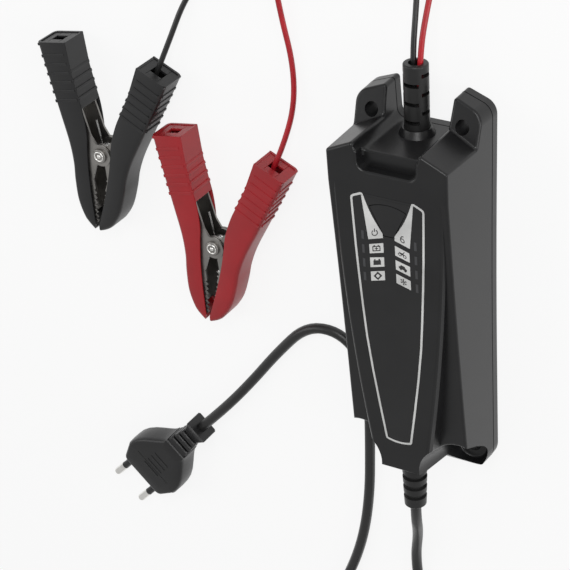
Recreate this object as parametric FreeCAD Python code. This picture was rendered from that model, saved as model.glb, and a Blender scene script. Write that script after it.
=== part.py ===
import FreeCAD, Part
import math
import os

V = FreeCAD.Vector

# Automatic car battery charger with two clips and a flat mains plug, laid out on its back.
# Millimetres. Z is up, out of the fascia. Y runs from the mains end to the output end.
# The origin is the middle of the housing's back face.

# Housing
bodyWidth = 61.0
bodyLength = 190.0
coverThick = 5.0
wall = 2.4
sideDraft = 1.9
waistDepth = 0.8
lowerCornerR = 10.5
blockTop = 50.0
frontTopZ = 45.6
frontTopY = 78.0
frontSlope = 0.030
earHoleX = 21.7
mountHoleY = 84.0
mountHoleD = 6.5
earInnerX = 16.0
earSlant = 0.34
earCornerR = 7.0
earTipR = 1.5
earTipLift = 0.556
caseRound = 1.3
earFaceZ = 13.0
earFaceSlope = 0.33
valleyHalf = 15.0
valleyFloorY = 77.0
valleyR = 4.0
shoulderInnerY = 83.0
shoulderSlant = 0.47
tongueZ = 40.0
notchHalf = 14.0
notchY = 70.0

# Tower that carries the fascia, and the ledge beside it
towerTopHalf = 26.8
towerMidHalf = 22.6
towerMidY = -8.0
noseHalf = 12.8
noseY = -84.5
towerFlare = 1.8
towerRound = 2.0
roundSteps = 3
ledgeLowZ = 30.5
ledgeLowY = -80.0
ledgeSlope = 0.103
bevelTopY = -75.0
bevelTopZ = 30.0
skirtZ = 8.0

# Screw scoops at the mains end
scoopR = 6.8
scoopTopR = 15.0
scoopTopZ = 36.0
scoopLean = 0.12

# Case screws and bosses
bossX = 25.0
bossYs = (-58.0, 58.0)
bossR = 3.4
pilotD = 2.4
screwD = 2.9
screwHeadD = 5.6
screwHeadH = 2.0
screwLength = 12.0
headSeat = 2.6
fitGap = 0.2
sealWidth = 1.2
sealThick = 0.9
sealInset = 0.8

# Fascia
filmThick = 0.4
frameTopHalf = 17.4
frameInnerHalf = 12.2
frameTopY = 56.8
frameInnerY = 59.2
frameLowHalf = 6.0
frameLowY = -67.5
buttonTopHalf = 8.6
buttonTopY = 55.5
buttonLowHalf = 2.3
buttonLowY = 40.5
buttonTravel = 0.8
buttonGap = 0.3
barLength = 2.2
barWidth = 1.3
barX = 13.2
barTopY = 37.0
barPitch = 6.5

# Boards
boardThick = 1.6
mainBoardZ = 10.5
mainBoardHalf = 21.0
mainBoardLow = -62.0
mainBoardHigh = 66.0
displayBoardDrop = 6.6
displayHalf = 16.0
displayLow = 10.0
displayHigh = 60.0
partGap = 0.1

# Cords
mainsD = 5.2
leadD = 2.6
leadPitch = 2.9
outputAxisZ = 16.0
mainsAxisZ = 27.0
outputSleeveR = 5.6
outputSleeveEnd = 109.6
outputBoreR = 3.3
collarR = 8.2
collarHeight = 3.4
mainsSleeveR = 6.0
mainsSleeveEndR = 5.2
mainsSleeveEnd = -112.4
mainsBoreR = 2.75
mainsMouthR = 3.3
mainsMouthDepth = 8.0
mainsSleeveStart = -81.5
mainsTaperY = -88.0
grooveYs = (-93.5, -99.0, -104.5)
grooveDepth = 1.3
grooveWide = 2.4
flangeOut = 1.8
flangeThick = 1.4
windowPitch = 4.3
windowSlot = 1.7
windowCount = 6
coilGap = 0.45

# On the boards
postR = 2.6
boardTop = mainBoardZ + boardThick
transformerY = -18.0
coreX = 26.0
coreY = 24.0
coreHeight = 12.0
coreLift = 3.2
coreSide = 3.6
coreYoke = 4.0
centreLegHalf = 4.2
bobbinHeight = 18.0
sinkY = 32.0
linkInset = 12.0
buttonCentreY = 48.5
switchHalf = 2.6
switchHeight = 1.6
switchFloor = 0.6
plungerR = 1.2
plungerOut = 1.0

# Plug
plugX = -158.0
plugY = -147.0
plugAngle = 226.0
plugThick = 13.7
plugWidth = 35.3
plugLength = 35.0
pinSpacing = 18.6
pinD = 4.0
pinLength = 19.0
pinSleeveLength = 10.0
pinSleeveD = 3.8

# Clips
clipThick = 15.0
coverWall = 1.3
sheet = 1.0
rivetR = 2.2
lobeR = 5.6
platesIn = 3.6
platesOut = 4.9
clipOuter = [(1.6, -42.0), (8.0, -37.5), (12.4, -27.5), (14.2, -12.0), (17.4, 1.0), (23.0, 15.5), (32.6, 41.0),
             (35.6, 49.5)]
clipInner = [(19.6, 54.5), (15.6, 38.5), (8.6, 19.0), (6.6, 8.0), (6.2, -4.0), (4.2, -20.0), (1.0, -38.0)]
blackClip = (-172.0, 28.0, -8.0)
redClip = (-112.0, -8.0, -8.0)
teethCount = 7
springWire = 1.1
springR = 3.3
springLeg = 15.0
clipHalfAngle = 21.0

# Routes of the free cords, from the housing outward
mainsRoute = [
    (0.0, -95.0, 27.0), (-0.2, -120.0, 26.9), (-7.5, -143.0, 11.0), (-14.0, -166.0, 2.7),
    (-11.5, -190.0, 2.65), (-1.0, -210.0, 2.65), (8.0, -229.0, 2.65), (8.0, -248.0, 2.65)]
mainsCoilStart = ((8.0, -248.0, 2.65), (0, -1), -1, 39.0, 3)
plugRoute = [
    (-64.35, -248.0, 8.3), (-64.35, -226.0, 7.4), (-59.0, -204.0, 3.2), (-49.5, -183.0, 2.65),
    (-42.5, -160.0, 2.65), (-38.6, -134.0, 2.65), (-37.4, -107.0, 2.65), (-36.8, -82.0, 2.65),
    (-37.8, -59.0, 2.65), (-50.5, -44.5, 2.65), (-69.5, -46.0, 2.65), (-87.0, -66.0, 2.65),
    (-103.5, -88.0, 3.4), (-119.3, -106.9, 6.85), (-135.9, -124.1, 6.85)]
blackRoute = [
    (-1.45, 92.0, 16.0), (-1.6, 113.0, 15.6), (-2.6, 133.0, 9.0), (-5.0, 154.0, 1.5), (-5.0, 172.0, 1.35)]
blackCoilStart = ((-5.0, 172.0, 1.35), (0, 1), 1, 21.0, 3)
redRoute = [
    (1.45, 92.0, 16.0), (1.6, 113.0, 15.6), (2.6, 133.0, 9.0), (5.0, 155.0, 1.5), (7.5, 179.0, 1.35),
    (6.0, 201.0, 1.35), (6.0, 220.0, 1.35)]
redCoilStart = ((6.0, 220.0, 1.35), (0, 1), 1, 21.0, 3)
blackClipRoute = [
    (-43.95, 172.0, 4.4), (-43.95, 155.0, 3.2), (-54.0, 140.0, 1.35), (-72.0, 134.0, 1.35),
    (-93.0, 133.0, 1.35), (-112.0, 126.0, 1.35), (-124.0, 111.0, 2.0), (-131.0, 92.0, 6.2),
    (-142.4, 67.6, 7.5), (-154.1, 46.2, 7.5)]
redClipRoute = [
    (-32.95, 220.0, 4.4), (-33.5, 206.0, 3.0), (-44.0, 196.0, 1.5), (-58.0, 185.0, 1.35), (-69.0, 169.0, 1.6),
    (-74.0, 152.0, 3.6), (-74.5, 133.0, 4.9), (-73.0, 112.0, 2.6), (-69.0, 90.0, 1.5), (-68.5, 70.0, 3.4),
    (-73.5, 51.0, 6.8), (-82.4, 31.6, 7.5), (-94.1, 10.2, 7.5)]


# Small helpers
def box(x0, x1, y0, y1, z0, z1):
    return Part.makeBox(x1 - x0, y1 - y0, z1 - z0, V(x0, y0, z0))


def cylinder(radius, start, end):
    run = V(*end) - V(*start)
    return Part.makeCylinder(radius, run.Length, V(*start), run)


def roundedWire(points, z=0.0):
    # points are (x, y, radius): straight edges joined by arcs that touch them
    corners = [V(p[0], p[1], z) for p in points]
    edges = []
    last = None
    first = None
    count = len(points)
    for i in range(count):
        here, before, after = corners[i], corners[i - 1], corners[(i + 1) % count]
        radius = points[i][2]
        inward = (before - here).normalize()
        outward = (after - here).normalize()
        if radius <= 0:
            a = b = here
        else:
            half = inward.getAngle(outward) / 2
            cut = radius / math.tan(half)
            a = here + inward * cut
            b = here + outward * cut
            bisector = (inward + outward).normalize()
            middle = here + bisector * (radius / math.sin(half) - radius)
        if last is not None and (a - last).Length > 1e-6:
            edges.append(Part.makeLine(last, a))
        if radius > 0:
            edges.append(Part.Arc(a, middle, b).toShape())
        if first is None:
            first = a
        last = b
    if (first - last).Length > 1e-6:
        edges.append(Part.makeLine(last, first))
    return Part.Wire(edges)


def mirrored(points):
    # adds the left half of an outline whose right half runs upward
    return points + [(-x, y, r) for x, y, r in reversed(points)]


def prism(points, z0, z1):
    return Part.Face(roundedWire(points, z0)).extrude(V(0, 0, z1 - z0))


def sideProfile(points, halfWidth=60.0):
    # a (y, z) polygon extruded across X
    corners = [V(-halfWidth, y, z) for y, z in points]
    return Part.Face(Part.makePolygon(corners + corners[:1])).extrude(V(2 * halfWidth, 0, 0))


def mirrorX(shape):
    return shape.mirror(V(0, 0, 0), V(1, 0, 0))


def rounded(shape, radius, pick):
    return shape.makeFillet(radius, [e for e in shape.Edges if pick(e)]).Solids[0]


def frontZ(y):
    return frontTopZ + (y - frontTopY) * frontSlope


def ledgeZ(y):
    return ledgeLowZ + (y - ledgeLowY) * ledgeSlope


def earZ(y):
    return earFaceZ + (bodyLength / 2 - y) * earFaceSlope


# Housing
def bodyOutline(inset, topY=None):
    half = bodyWidth / 2 - inset
    low = -bodyLength / 2 + inset
    corner = lowerCornerR - min(inset, lowerCornerR - 3)
    waist = half - waistDepth
    if topY is not None:
        return mirrored([(half, low, corner), (waist, 5, 5000), (half, topY, 3.0)])
    high = bodyLength / 2
    outer = high - (half - earInnerX) * earSlant
    return mirrored([
        (half, low, corner), (waist, 5, 5000), (half, outer, earCornerR),
        (earInnerX, high + earTipLift, earTipR), (valleyHalf, valleyFloorY, valleyR)])


def towerOutline(grow):
    # the tower is widest at the shoulders and narrows along a shallow curve to the nose
    lowY = noseY - grow * 0.5
    return [(noseHalf + grow, lowY), (towerMidHalf + grow, towerMidY), (towerTopHalf + grow, frontTopY)]


def towerWire(grow, z, topY):
    low, mid, top = [V(x, y, z) for x, y in towerOutline(grow)]
    top.y = frontTopY
    side = Part.Arc(low, mid, top).toShape()
    leftSide = Part.Arc(V(-top.x, top.y, z), V(-mid.x, mid.y, z), V(-low.x, low.y, z)).toShape()
    upRight = V(top.x, topY, z)
    upLeft = V(-top.x, topY, z)
    return Part.Wire([
        side, Part.makeLine(top, upRight), Part.makeLine(upRight, upLeft),
        Part.makeLine(upLeft, V(-top.x, top.y, z)), leftSide,
        Part.makeLine(V(-low.x, low.y, z), low)])


def frontRounding(topY):
    # lofts that lean in step by step round the tower's long front edges
    base = frontZ(0)
    form = None
    for k in range(1, roundSteps + 1):
        lean = math.radians(90 * k / (roundSteps + 1))
        inward = towerRound * (1 - (1 - math.sin(lean)) / math.cos(lean))
        low = towerWire(blockTop * math.tan(lean) - inward, base - blockTop, topY)
        high = towerWire(-inward - filmThick * math.tan(lean), base + filmThick, topY)
        step = Part.makeLoft([low, high], True, True)
        step.rotate(V(0, 0, base), V(1, 0, 0), math.degrees(math.atan(frontSlope)))
        form = step if form is None else form.common(step)
    return form


def casingForm(inset, z0):
    # the housing's outer form with every face drawn in by inset, from z0 upward
    topY = None if inset == 0 else valleyFloorY - inset
    block = Part.makeLoft(
        [roundedWire(bodyOutline(inset, topY), z0), roundedWire(bodyOutline(inset + sideDraft, topY), blockTop)],
        True, True)
    low = -bodyLength / 2 - 1
    high = bodyLength / 2 + 1
    ledge = sideProfile([
        (low, z0 - 1), (high, z0 - 1), (high, ledgeZ(high) - inset),
        (bevelTopY + inset, ledgeZ(bevelTopY) - inset), (-bodyLength / 2 + inset, skirtZ), (low, skirtZ)])
    front = sideProfile([
        (low, z0 - 1), (high, z0 - 1), (high, frontZ(high) - inset),
        (noseY + inset, frontZ(noseY) - inset), (-bodyLength / 2 + 1.5 + inset, skirtZ), (low, skirtZ)])
    wide = towerFlare - inset
    tower = Part.makeLoft(
        [towerWire(wide, z0, high + 5), towerWire(-inset, blockTop, high + 5)], True, True)
    cap = sideProfile([
        (low, z0 - 1), (high, z0 - 1), (high, frontZ(high) - inset), (low, frontZ(low) - inset)])
    spine = block.common(tower).common(front)
    if inset == 0:
        spine = spine.common(frontRounding(high + 5))
    form = block.common(ledge).common(cap).fuse(spine)
    for side in (-1, 1):
        lean = V(side * scoopLean, scoopLean * 0.4, 1)
        height = scoopTopZ - skirtZ
        foot = V(side * earHoleX, -mountHoleY, skirtZ - inset)
        growth = (scoopTopR - scoopR) / height
        scoop = Part.makeCone(scoopR + inset, scoopTopR + inset + growth * 20, height + 20, foot, lean)
        form = form.cut(scoop)
    return form.removeSplitter()


def earSpace():
    # what is cut away above the ears: in front of their sloped faces, past the slanted shoulders
    high = bodyLength / 2 + 5
    outerX = bodyWidth / 2 + 5
    drop = (outerX - valleyHalf) * shoulderSlant
    plan = [
        (valleyHalf - 2, shoulderInnerY + shoulderSlant * 2, 0), (outerX, shoulderInnerY - drop, 0),
        (outerX, high, 0), (valleyHalf - 2, high, 0)]
    space = prism(plan, 0, blockTop + 5)
    low = shoulderInnerY - drop - 2
    faces = sideProfile([(low, earZ(low)), (high, earZ(high)), (high, 90), (low, 90)])
    return space.common(faces)


def boss(y, side):
    return Part.makeCylinder(bossR, ledgeZ(y) - wall - coverThick, V(side * bossX, y, coverThick))


def screwSpots():
    return [(side * bossX, y) for y in bossYs for side in (-1, 1)]


def fasciaPlan(grow, z):
    return prism(mirrored([
        (frameLowHalf + grow, frameLowY - grow, 0.8), (frameTopHalf + grow, frameTopY, 1.2),
        (frameInnerHalf + grow * 0.5, frameInnerY + grow, 1.0)]), z, z + 20)


def fasciaLayer(depth, thick, grow):
    # a layer of the fascia that follows the sloped front face
    y0, y1 = -100.0, 100.0
    slab = sideProfile([
        (y0, frontZ(y0) - depth - thick), (y1, frontZ(y1) - depth - thick),
        (y1, frontZ(y1) - depth), (y0, frontZ(y0) - depth)])
    return fasciaPlan(grow, frontTopZ - 15).common(slab)


def buttonPlan(grow, z0, z1):
    # fan-shaped key with an arched top edge
    lowHalf, topHalf = buttonLowHalf + grow, buttonTopHalf + grow
    low, top = buttonLowY - grow, buttonTopY + grow
    right, left, crown = V(topHalf, top - 2.0, z0), V(-topHalf, top - 2.0, z0), V(0, top, z0)
    wire = Part.Wire([
        Part.makeLine(V(-lowHalf, low, z0), V(lowHalf, low, z0)), Part.makeLine(V(lowHalf, low, z0), right),
        Part.Arc(right, crown, left).toShape(), Part.makeLine(left, V(-lowHalf, low, z0))])
    return Part.Face(wire).extrude(V(0, 0, z1 - z0))


def barSpots():
    return [(side * barX, barTopY - i * barPitch) for side in (-1, 1) for i in range(4)]


def barBox(x, y, grow, z0, z1):
    return box(x - barLength / 2 - grow, x + barLength / 2 + grow, y - barWidth / 2 - grow,
               y + barWidth / 2 + grow, z0, z1)


def foldAngle(shape, edge):
    # how far the two faces at an edge turn from one to the other, in degrees
    faces = shape.ancestorsOfType(edge, Part.Face)
    if len(faces) != 2:
        return 0
    middle = edge.valueAt((edge.FirstParameter + edge.LastParameter) / 2)
    normals = [f.normalAt(*f.Surface.parameter(middle)) for f in faces]
    return math.degrees(normals[0].getAngle(normals[1]))


def mouldedEdge(shape, edge):
    # the folds of the outer form, but not its back rim, the tower's own edges and the slender ends
    middle = edge.valueAt((edge.FirstParameter + edge.LastParameter) / 2)
    if edge.BoundBox.ZMax < coverThick + 0.1 or not 25 < foldAngle(shape, edge) < 120:
        return False
    onTower = abs(middle.x) < towerTopHalf and middle.y < notchY - 1
    upright = middle.y < noseY and edge.BoundBox.ZLength > mainsSleeveR
    nearFront = frontZ(middle.y) - middle.z < 2 * towerRound
    return not (onTower and (upright or nearFront or edge.Length > bodyLength / 2))


def displayTop():
    return frontZ(displayLow) - displayBoardDrop


def frontShell():
    shell = casingForm(0, coverThick)
    shell = shell.cut(earSpace()).cut(mirrorX(earSpace()))
    recess = prism(mirrored([(notchHalf, notchY, valleyR), (notchHalf, 120, 0)]), tongueZ, 80)
    shell = shell.cut(recess).removeSplitter()
    shell = rounded(shell, caseRound, lambda e: mouldedEdge(shell, e))
    cavity = casingForm(wall, coverThick - 1)
    shell = shell.cut(cavity.cut(sideProfile([(valleyFloorY - wall, 0), (200, 0), (200, 90),
                                              (valleyFloorY - wall, 90)])))
    throat = box(-notchHalf - wall, notchHalf + wall, notchY - wall, 90, tongueZ - wall, 80)
    shell = shell.fuse(throat.common(casingForm(0.6, coverThick)).cut(recess))
    for x, y in screwSpots():
        shell = shell.fuse(boss(y, math.copysign(1, x)))
        shell = shell.cut(cylinder(pilotD / 2, (x, y, 0), (x, y, coverThick + screwLength)))
    collar = Part.makeCone(collarR, collarR - 1.6, collarHeight, V(0, valleyFloorY - 0.2, outputAxisZ), V(0, 1, 0))
    shell = shell.fuse(collar.cut(box(-20, 20, 60, 90, -5, coverThick)))
    shell = shell.cut(cylinder(outputSleeveR + fitGap, (0, 70, outputAxisZ), (0, 90, outputAxisZ)))
    shell = shell.cut(cylinder(mainsSleeveR + fitGap, (0, -100, mainsAxisZ), (0, -78, mainsAxisZ)))
    for side in (-1, 1):
        for y in (-mountHoleY, mountHoleY):
            shell = shell.cut(cylinder(mountHoleD / 2, (side * earHoleX, y, 0), (side * earHoleX, y, 40)))
    shell = shell.cut(fasciaLayer(-1, filmThick + 1, 0))
    shell = shell.cut(buttonPlan(buttonGap, frontTopZ - 10, 60))
    for x, y in barSpots():
        shell = shell.cut(barBox(x, y, 0, frontTopZ - 10, 60))
    return shell.removeSplitter()


def ringPlan(inset, z0, z1):
    # the rim where cover and shell meet, followed at a given inset
    half = bodyWidth / 2 - inset
    low = -bodyLength / 2 + inset
    return prism(mirrored([
        (half, low, lowerCornerR - inset), (half, valleyFloorY - inset, 3.0)]), z0, z1)


def sealRing(grow, z0, z1):
    outer = ringPlan(sealInset + waistDepth - grow, z0, z1)
    return outer.cut(ringPlan(sealInset + waistDepth + sealWidth + grow, z0 - 1, z1 + 1))


def rearCover():
    plate = prism(bodyOutline(0), 0, coverThick)
    rim = [e for e in plate.Edges if e.BoundBox.ZMax < 0.01]
    plate = plate.makeFillet(0.8, rim)
    plate = plate.cut(ringPlan(wall + 4.5, 2.4, coverThick + 1).cut(
        prism([(-30, -95, 0), (30, -95, 0), (30, -70, 0), (-30, -70, 0)], 0, 20)))
    for x, y in screwSpots():
        plate = plate.fuse(cylinder(bossR, (x, y, 1), (x, y, coverThick)))
        plate = plate.cut(cylinder(screwD / 2 + fitGap, (x, y, -1), (x, y, coverThick + 1)))
        plate = plate.cut(cylinder(screwHeadD / 2 + fitGap, (x, y, -1), (x, y, headSeat)))
    for x, y in boardSpots():
        plate = plate.fuse(cylinder(postR, (x, y, 1), (x, y, mainBoardZ)))
        plate = plate.cut(cylinder(pilotD / 2, (x, y, 3.4), (x, y, mainBoardZ + 1)))
    for side in (-1, 1):
        for y in (-mountHoleY, mountHoleY):
            plate = plate.cut(cylinder(mountHoleD / 2, (side * earHoleX, y, -1), (side * earHoleX, y, 40)))
    plate = plate.cut(sealRing(0.0, coverThick - sealThick, coverThick + 1))
    return plate.removeSplitter()


def panScrew(x, y, z, length, direction=1):
    # a pan-head screw whose head rests at z and whose shank runs in the given direction
    shank = cylinder(pilotD / 2 - 0.02, (x, y, z), (x, y, z + direction * length))
    neck = cylinder(screwD / 2 - 0.1, (x, y, z), (x, y, z + direction * (coverThick - headSeat)))
    head = cylinder(screwHeadD / 2, (x, y, z - direction * screwHeadH), (x, y, z))
    head = rounded(head, 0.5, lambda e: abs(e.BoundBox.ZMax - (z - direction * screwHeadH)) < 0.01)
    slot = box(x - 1.7, x + 1.7, y - 0.35, y + 0.35, -1, 1).fuse(box(x - 0.35, x + 0.35, y - 1.7, y + 1.7, -1, 1))
    slot.translate(V(0, 0, z - direction * screwHeadH))
    return head.fuse(neck).fuse(shank).cut(slot).removeSplitter()


def caseScrews():
    return [panScrew(x, y, headSeat, screwLength) for x, y in screwSpots()]


# Boards and what stands on them
def boardSpots():
    return [(side * (mainBoardHalf - 3), y) for y in (mainBoardLow + 6, mainBoardHigh - 6) for side in (-1, 1)]


def mainBoard():
    board = box(-mainBoardHalf, mainBoardHalf, mainBoardLow, mainBoardHigh, mainBoardZ, mainBoardZ + boardThick)
    for x, y in boardSpots():
        board = board.cut(cylinder(pilotD / 2 + 0.4, (x, y, 0), (x, y, 30)))
    return board


def boardScrew(x, y, z, length):
    head = cylinder(2.3, (x, y, z), (x, y, z + 1.5))
    shank = cylinder(pilotD / 2 - 0.02, (x, y, z - length), (x, y, z))
    return head.fuse(shank).removeSplitter()


def boardScrews():
    top = mainBoardZ + boardThick
    return [boardScrew(x, y, top, 6.5) for x, y in boardSpots()]


def transformerCore():
    # a ferrite E core pair: two outer legs, a centre leg and the yokes
    x, y = coreX / 2, coreY / 2
    z = boardTop + coreLift
    outer = box(-x, x, transformerY - y, transformerY + y, z, z + coreHeight)
    for side in (-1, 1):
        a, b = sorted((side * centreLegHalf, side * (x - coreSide)))
        outer = outer.cut(box(a, b, transformerY - y + coreYoke, transformerY + y - coreYoke, z - 1, z + 20))
    return outer


def transformerWinding():
    # the bobbin with its wound window, seated on the board on its flanges
    x = coreX / 2 - coreSide - fitGap
    y = coreY / 2 - coreYoke - fitGap
    z = boardTop
    bobbin = box(-x, x, transformerY - y, transformerY + y, z, z + bobbinHeight)
    hole = box(-centreLegHalf - fitGap, centreLegHalf + fitGap, transformerY - y - 1, transformerY + y + 1,
               z + coreLift - fitGap, z + coreLift + coreHeight + fitGap)
    return bobbin.cut(hole)


def canCapacitor(x, y, radius, height):
    can = cylinder(radius, (x, y, boardTop), (x, y, boardTop + height))
    groove = cylinder(radius + 1, (x, y, boardTop + 2.0), (x, y, boardTop + 3.0)).cut(
        cylinder(radius - 0.5, (x, y, boardTop + 1.9), (x, y, boardTop + 3.1)))
    can = can.cut(groove)
    return rounded(can, 0.5, lambda e: abs(e.BoundBox.ZMin - boardTop - height) < 0.01)


def lineChoke():
    # a wound ring standing on the board
    ring = Part.makeTorus(6.0, 2.6, V(0, -51.0, boardTop + 8.6 - 0.02), V(0, 1, 0))
    return ring


def fuseBody():
    tube = cylinder(2.5, (-16, -52, boardTop + 3.4), (-16, -38, boardTop + 3.4))
    caps = cylinder(2.9, (-16, -52, boardTop + 3.4), (-16, -48, boardTop + 3.4)).fuse(
        cylinder(2.9, (-16, -42, boardTop + 3.4), (-16, -38, boardTop + 3.4)))
    feet = box(-16.6, -15.4, -51, -49, boardTop, boardTop + 2).fuse(box(-16.6, -15.4, -41, -39, boardTop, boardTop + 2))
    return tube.fuse(caps).fuse(feet).removeSplitter()


def bridgeRectifier():
    body = box(11, 19, -50, -38, boardTop + 1.5, boardTop + 13)
    pins = [box(14.6, 15.4, y, y + 1, boardTop, boardTop + 2) for y in (-49, -46, -43, -40)]
    for pin in pins:
        body = body.fuse(pin)
    return body.removeSplitter()


def heatSink():
    # an aluminium plate with upright fins
    plate = box(-20, 2, sinkY, sinkY + 2.0, boardTop, boardTop + 18)
    for i in range(6):
        plate = plate.fuse(box(-20 + i * 4.1, -18.6 + i * 4.1, sinkY + 2.0, sinkY + 9, boardTop + 2, boardTop + 18))
    return plate.removeSplitter()


def powerTransistor():
    body = box(-14, -4, sinkY - 4.6, sinkY - partGap, boardTop + 4, boardTop + 14)
    tab = box(-14, -4, sinkY - 1.4, sinkY - partGap, boardTop + 4, boardTop + 17.5)
    shape = body.fuse(tab)
    for i in range(3):
        shape = shape.fuse(box(-12 + i * 2.6, -11.2 + i * 2.6, sinkY - 3, sinkY - 2.4, boardTop, boardTop + 5))
    return shape.removeSplitter()


def displayBoard():
    # under the fascia, hung from the housing's front on its light guides' seats
    top = displayTop()
    board = box(-displayHalf, displayHalf, displayLow, displayHigh, top - boardThick, top)
    for side in (-1, 1):
        for y in (displayLow + 3, displayHigh - 3):
            board = board.cut(cylinder(pilotD / 2 + 0.3, (side * (displayHalf - 3), y, 0),
                                       (side * (displayHalf - 3), y, 60)))
    return board


def displaySpots():
    return [(side * (displayHalf - 3), y) for side in (-1, 1) for y in (displayLow + 3, displayHigh - 3)]


def displayPosts():
    # posts that reach from the inside of the front face down to the display board
    return [cylinder(2.4, (x, y, displayTop()), (x, y, frontZ(y) - wall + 0.4)) for x, y in displaySpots()]


def displayScrews():
    low = displayTop() - boardThick
    screws = []
    for x, y in displaySpots():
        head = cylinder(2.2, (x, y, low - 1.4), (x, y, low))
        screws.append(head.fuse(cylinder(pilotD / 2 - 0.02, (x, y, low), (x, y, low + 5.0))).removeSplitter())
    return screws


def lightBars():
    bars = []
    for x, y in barSpots():
        foot = box(x - barLength / 2 - 0.6, x + barLength / 2 + 0.6, y - barWidth / 2 - 0.5, y + barWidth / 2 + 0.5,
                   displayTop() + 1.2, frontZ(y) - wall - 0.3)
        stem = barBox(x, y, -0.05, displayTop() + 1.2, frontZ(y) - filmThick - 0.02)
        bars.append(stem.fuse(foot).removeSplitter())
    return bars


def displayLeds():
    return [box(x - 0.8, x + 0.8, y - 0.5, y + 0.5, displayTop(), displayTop() + 0.9) for x, y in barSpots()]


def modeButton():
    # the key's cap under the film's opening, with a flange that keeps it in and a foot on the switch
    y0, y1 = 30, 70
    cap = buttonPlan(0, frontTopZ - 10, 60).common(sideProfile([
        (y0, frontZ(y0) - wall - 1.0), (y1, frontZ(y1) - wall - 1.0), (y1, frontZ(y1)), (y0, frontZ(y0))]))
    flange = buttonPlan(1.0, frontTopZ - 10, 60).common(sideProfile([
        (y0, frontZ(y0) - wall - 1.2), (y1, frontZ(y1) - wall - 1.2), (y1, frontZ(y1) - wall - 0.2),
        (y0, frontZ(y0) - wall - 0.2)]))
    foot = cylinder(1.6, (0, buttonCentreY, switchTop() + 0.02), (0, buttonCentreY, frontZ(buttonCentreY) - wall))
    return cap.fuse(flange).fuse(foot).removeSplitter()


def switchTop():
    return displayTop() + switchHeight + plungerOut


def switchBody():
    z = displayTop()
    body = box(-switchHalf, switchHalf, buttonCentreY - switchHalf, buttonCentreY + switchHalf, z, z + switchHeight)
    pocket = cylinder(plungerR + 0.1, (0, buttonCentreY, z + switchFloor), (0, buttonCentreY, z + switchHeight + 1))
    return body.cut(pocket)


def switchPlunger():
    low = displayTop() + switchFloor + buttonTravel + 0.05
    return cylinder(plungerR, (0, buttonCentreY, low), (0, buttonCentreY, switchTop()))


def fasciaFilm():
    film = fasciaLayer(0, filmThick, -0.1)
    return film.cut(buttonPlan(buttonGap, frontTopZ - 10, 60))


def boardLink():
    # a flat ribbon between the two boards, bent twice
    x0, x1 = -6.0, 6.0
    y = displayLow + linkInset
    low, high = boardTop, displayTop() - boardThick
    return box(x0, x1, y, y + 0.6, low, high)


# Strain reliefs
def outputSleeve():
    # a slotted sleeve: rings joined by webs that change sides from slot to slot
    start = valleyFloorY - wall - 1.6
    sleeve = cylinder(outputSleeveR, (0, start, outputAxisZ), (0, outputSleeveEnd, outputAxisZ))
    sleeve = rounded(sleeve, 0.8, lambda e: abs(e.BoundBox.YMin - outputSleeveEnd) < 0.01)
    flange = cylinder(outputSleeveR + flangeOut, (0, start, outputAxisZ), (0, start + flangeThick, outputAxisZ))
    sleeve = sleeve.fuse(flange)
    sleeve = sleeve.cut(cylinder(outputBoreR, (0, start - 1, outputAxisZ), (0, outputSleeveEnd + 1, outputAxisZ)))
    first = valleyFloorY + collarHeight + 2.4
    reach = outputSleeveR + 2
    web = outputSleeveR * 0.62
    for i in range(windowCount):
        y = first + i * windowPitch
        for side in (-1, 1):
            a, b = sorted((side * 0.9, side * reach))
            if i % 2 == 0:
                slot = box(-web, web, y, y + windowSlot, outputAxisZ + a, outputAxisZ + b)
            else:
                slot = box(a, b, y, y + windowSlot, outputAxisZ - web, outputAxisZ + web)
            sleeve = sleeve.cut(slot)
    return sleeve.removeSplitter()


def mainsSleeve():
    # a tapered moulded boot with three grooves and a flared mouth
    start = mainsSleeveStart
    inner = mainsBoreR
    taper = (mainsSleeveR - mainsSleeveEndR) / (mainsTaperY - mainsSleeveEnd)

    def radius(y):
        return mainsSleeveR - (mainsTaperY - y) * taper

    profile = [(inner, start), (mainsSleeveR + flangeOut, start), (mainsSleeveR + flangeOut, start - flangeThick),
               (mainsSleeveR, start - flangeThick), (mainsSleeveR, mainsTaperY)]
    for y in grooveYs:
        deep = radius(y) - grooveDepth
        profile += [(radius(y), y), (deep, y - 0.5), (deep, y - grooveWide + 0.5), (radius(y), y - grooveWide)]
    profile += [(mainsSleeveEndR, mainsSleeveEnd + 0.8), (mainsSleeveEndR - 0.8, mainsSleeveEnd),
                (mainsMouthR, mainsSleeveEnd), (inner, mainsSleeveEnd + mainsMouthDepth)]
    points = [V(r, y, mainsAxisZ) for r, y in profile]
    face = Part.Face(Part.makePolygon(points + points[:1]))
    return face.revolve(V(0, 0, mainsAxisZ), V(0, 1, 0), 360)


# Cords: straight runs joined by tangent arcs
def cordPath(points):
    corners = [V(*p) for p in points]
    edges = []
    last = corners[0]
    radii = []
    for i in range(1, len(corners) - 1):
        here = corners[i]
        back, ahead = corners[i - 1] - here, corners[i + 1] - here
        reach = 0.45 * min(back.Length, ahead.Length)
        half = (math.pi - back.getAngle(ahead)) / 2
        radius = reach / math.tan(half)
        radii.append(round(radius, 1))
        a = here + V(back).normalize() * reach
        b = here + V(ahead).normalize() * reach
        bisector = (V(back).normalize() + V(ahead).normalize()).normalize()
        middle = here + bisector * (radius / math.cos(half) - radius)
        edges.append(Part.makeLine(last, a))
        edges.append(Part.Arc(a, middle, b).toShape())
        last = b
    edges.append(Part.makeLine(last, corners[-1]))
    return Part.Wire(edges), radii


def tube(wire, diameter):
    edge = wire.Edges[0]
    start = edge.valueAt(edge.FirstParameter)
    heading = edge.tangentAt(edge.FirstParameter)
    ring = Part.Wire([Part.makeCircle(diameter / 2, start, heading)])
    solid = wire.makePipeShell([ring], True, False)
    return solid


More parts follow.
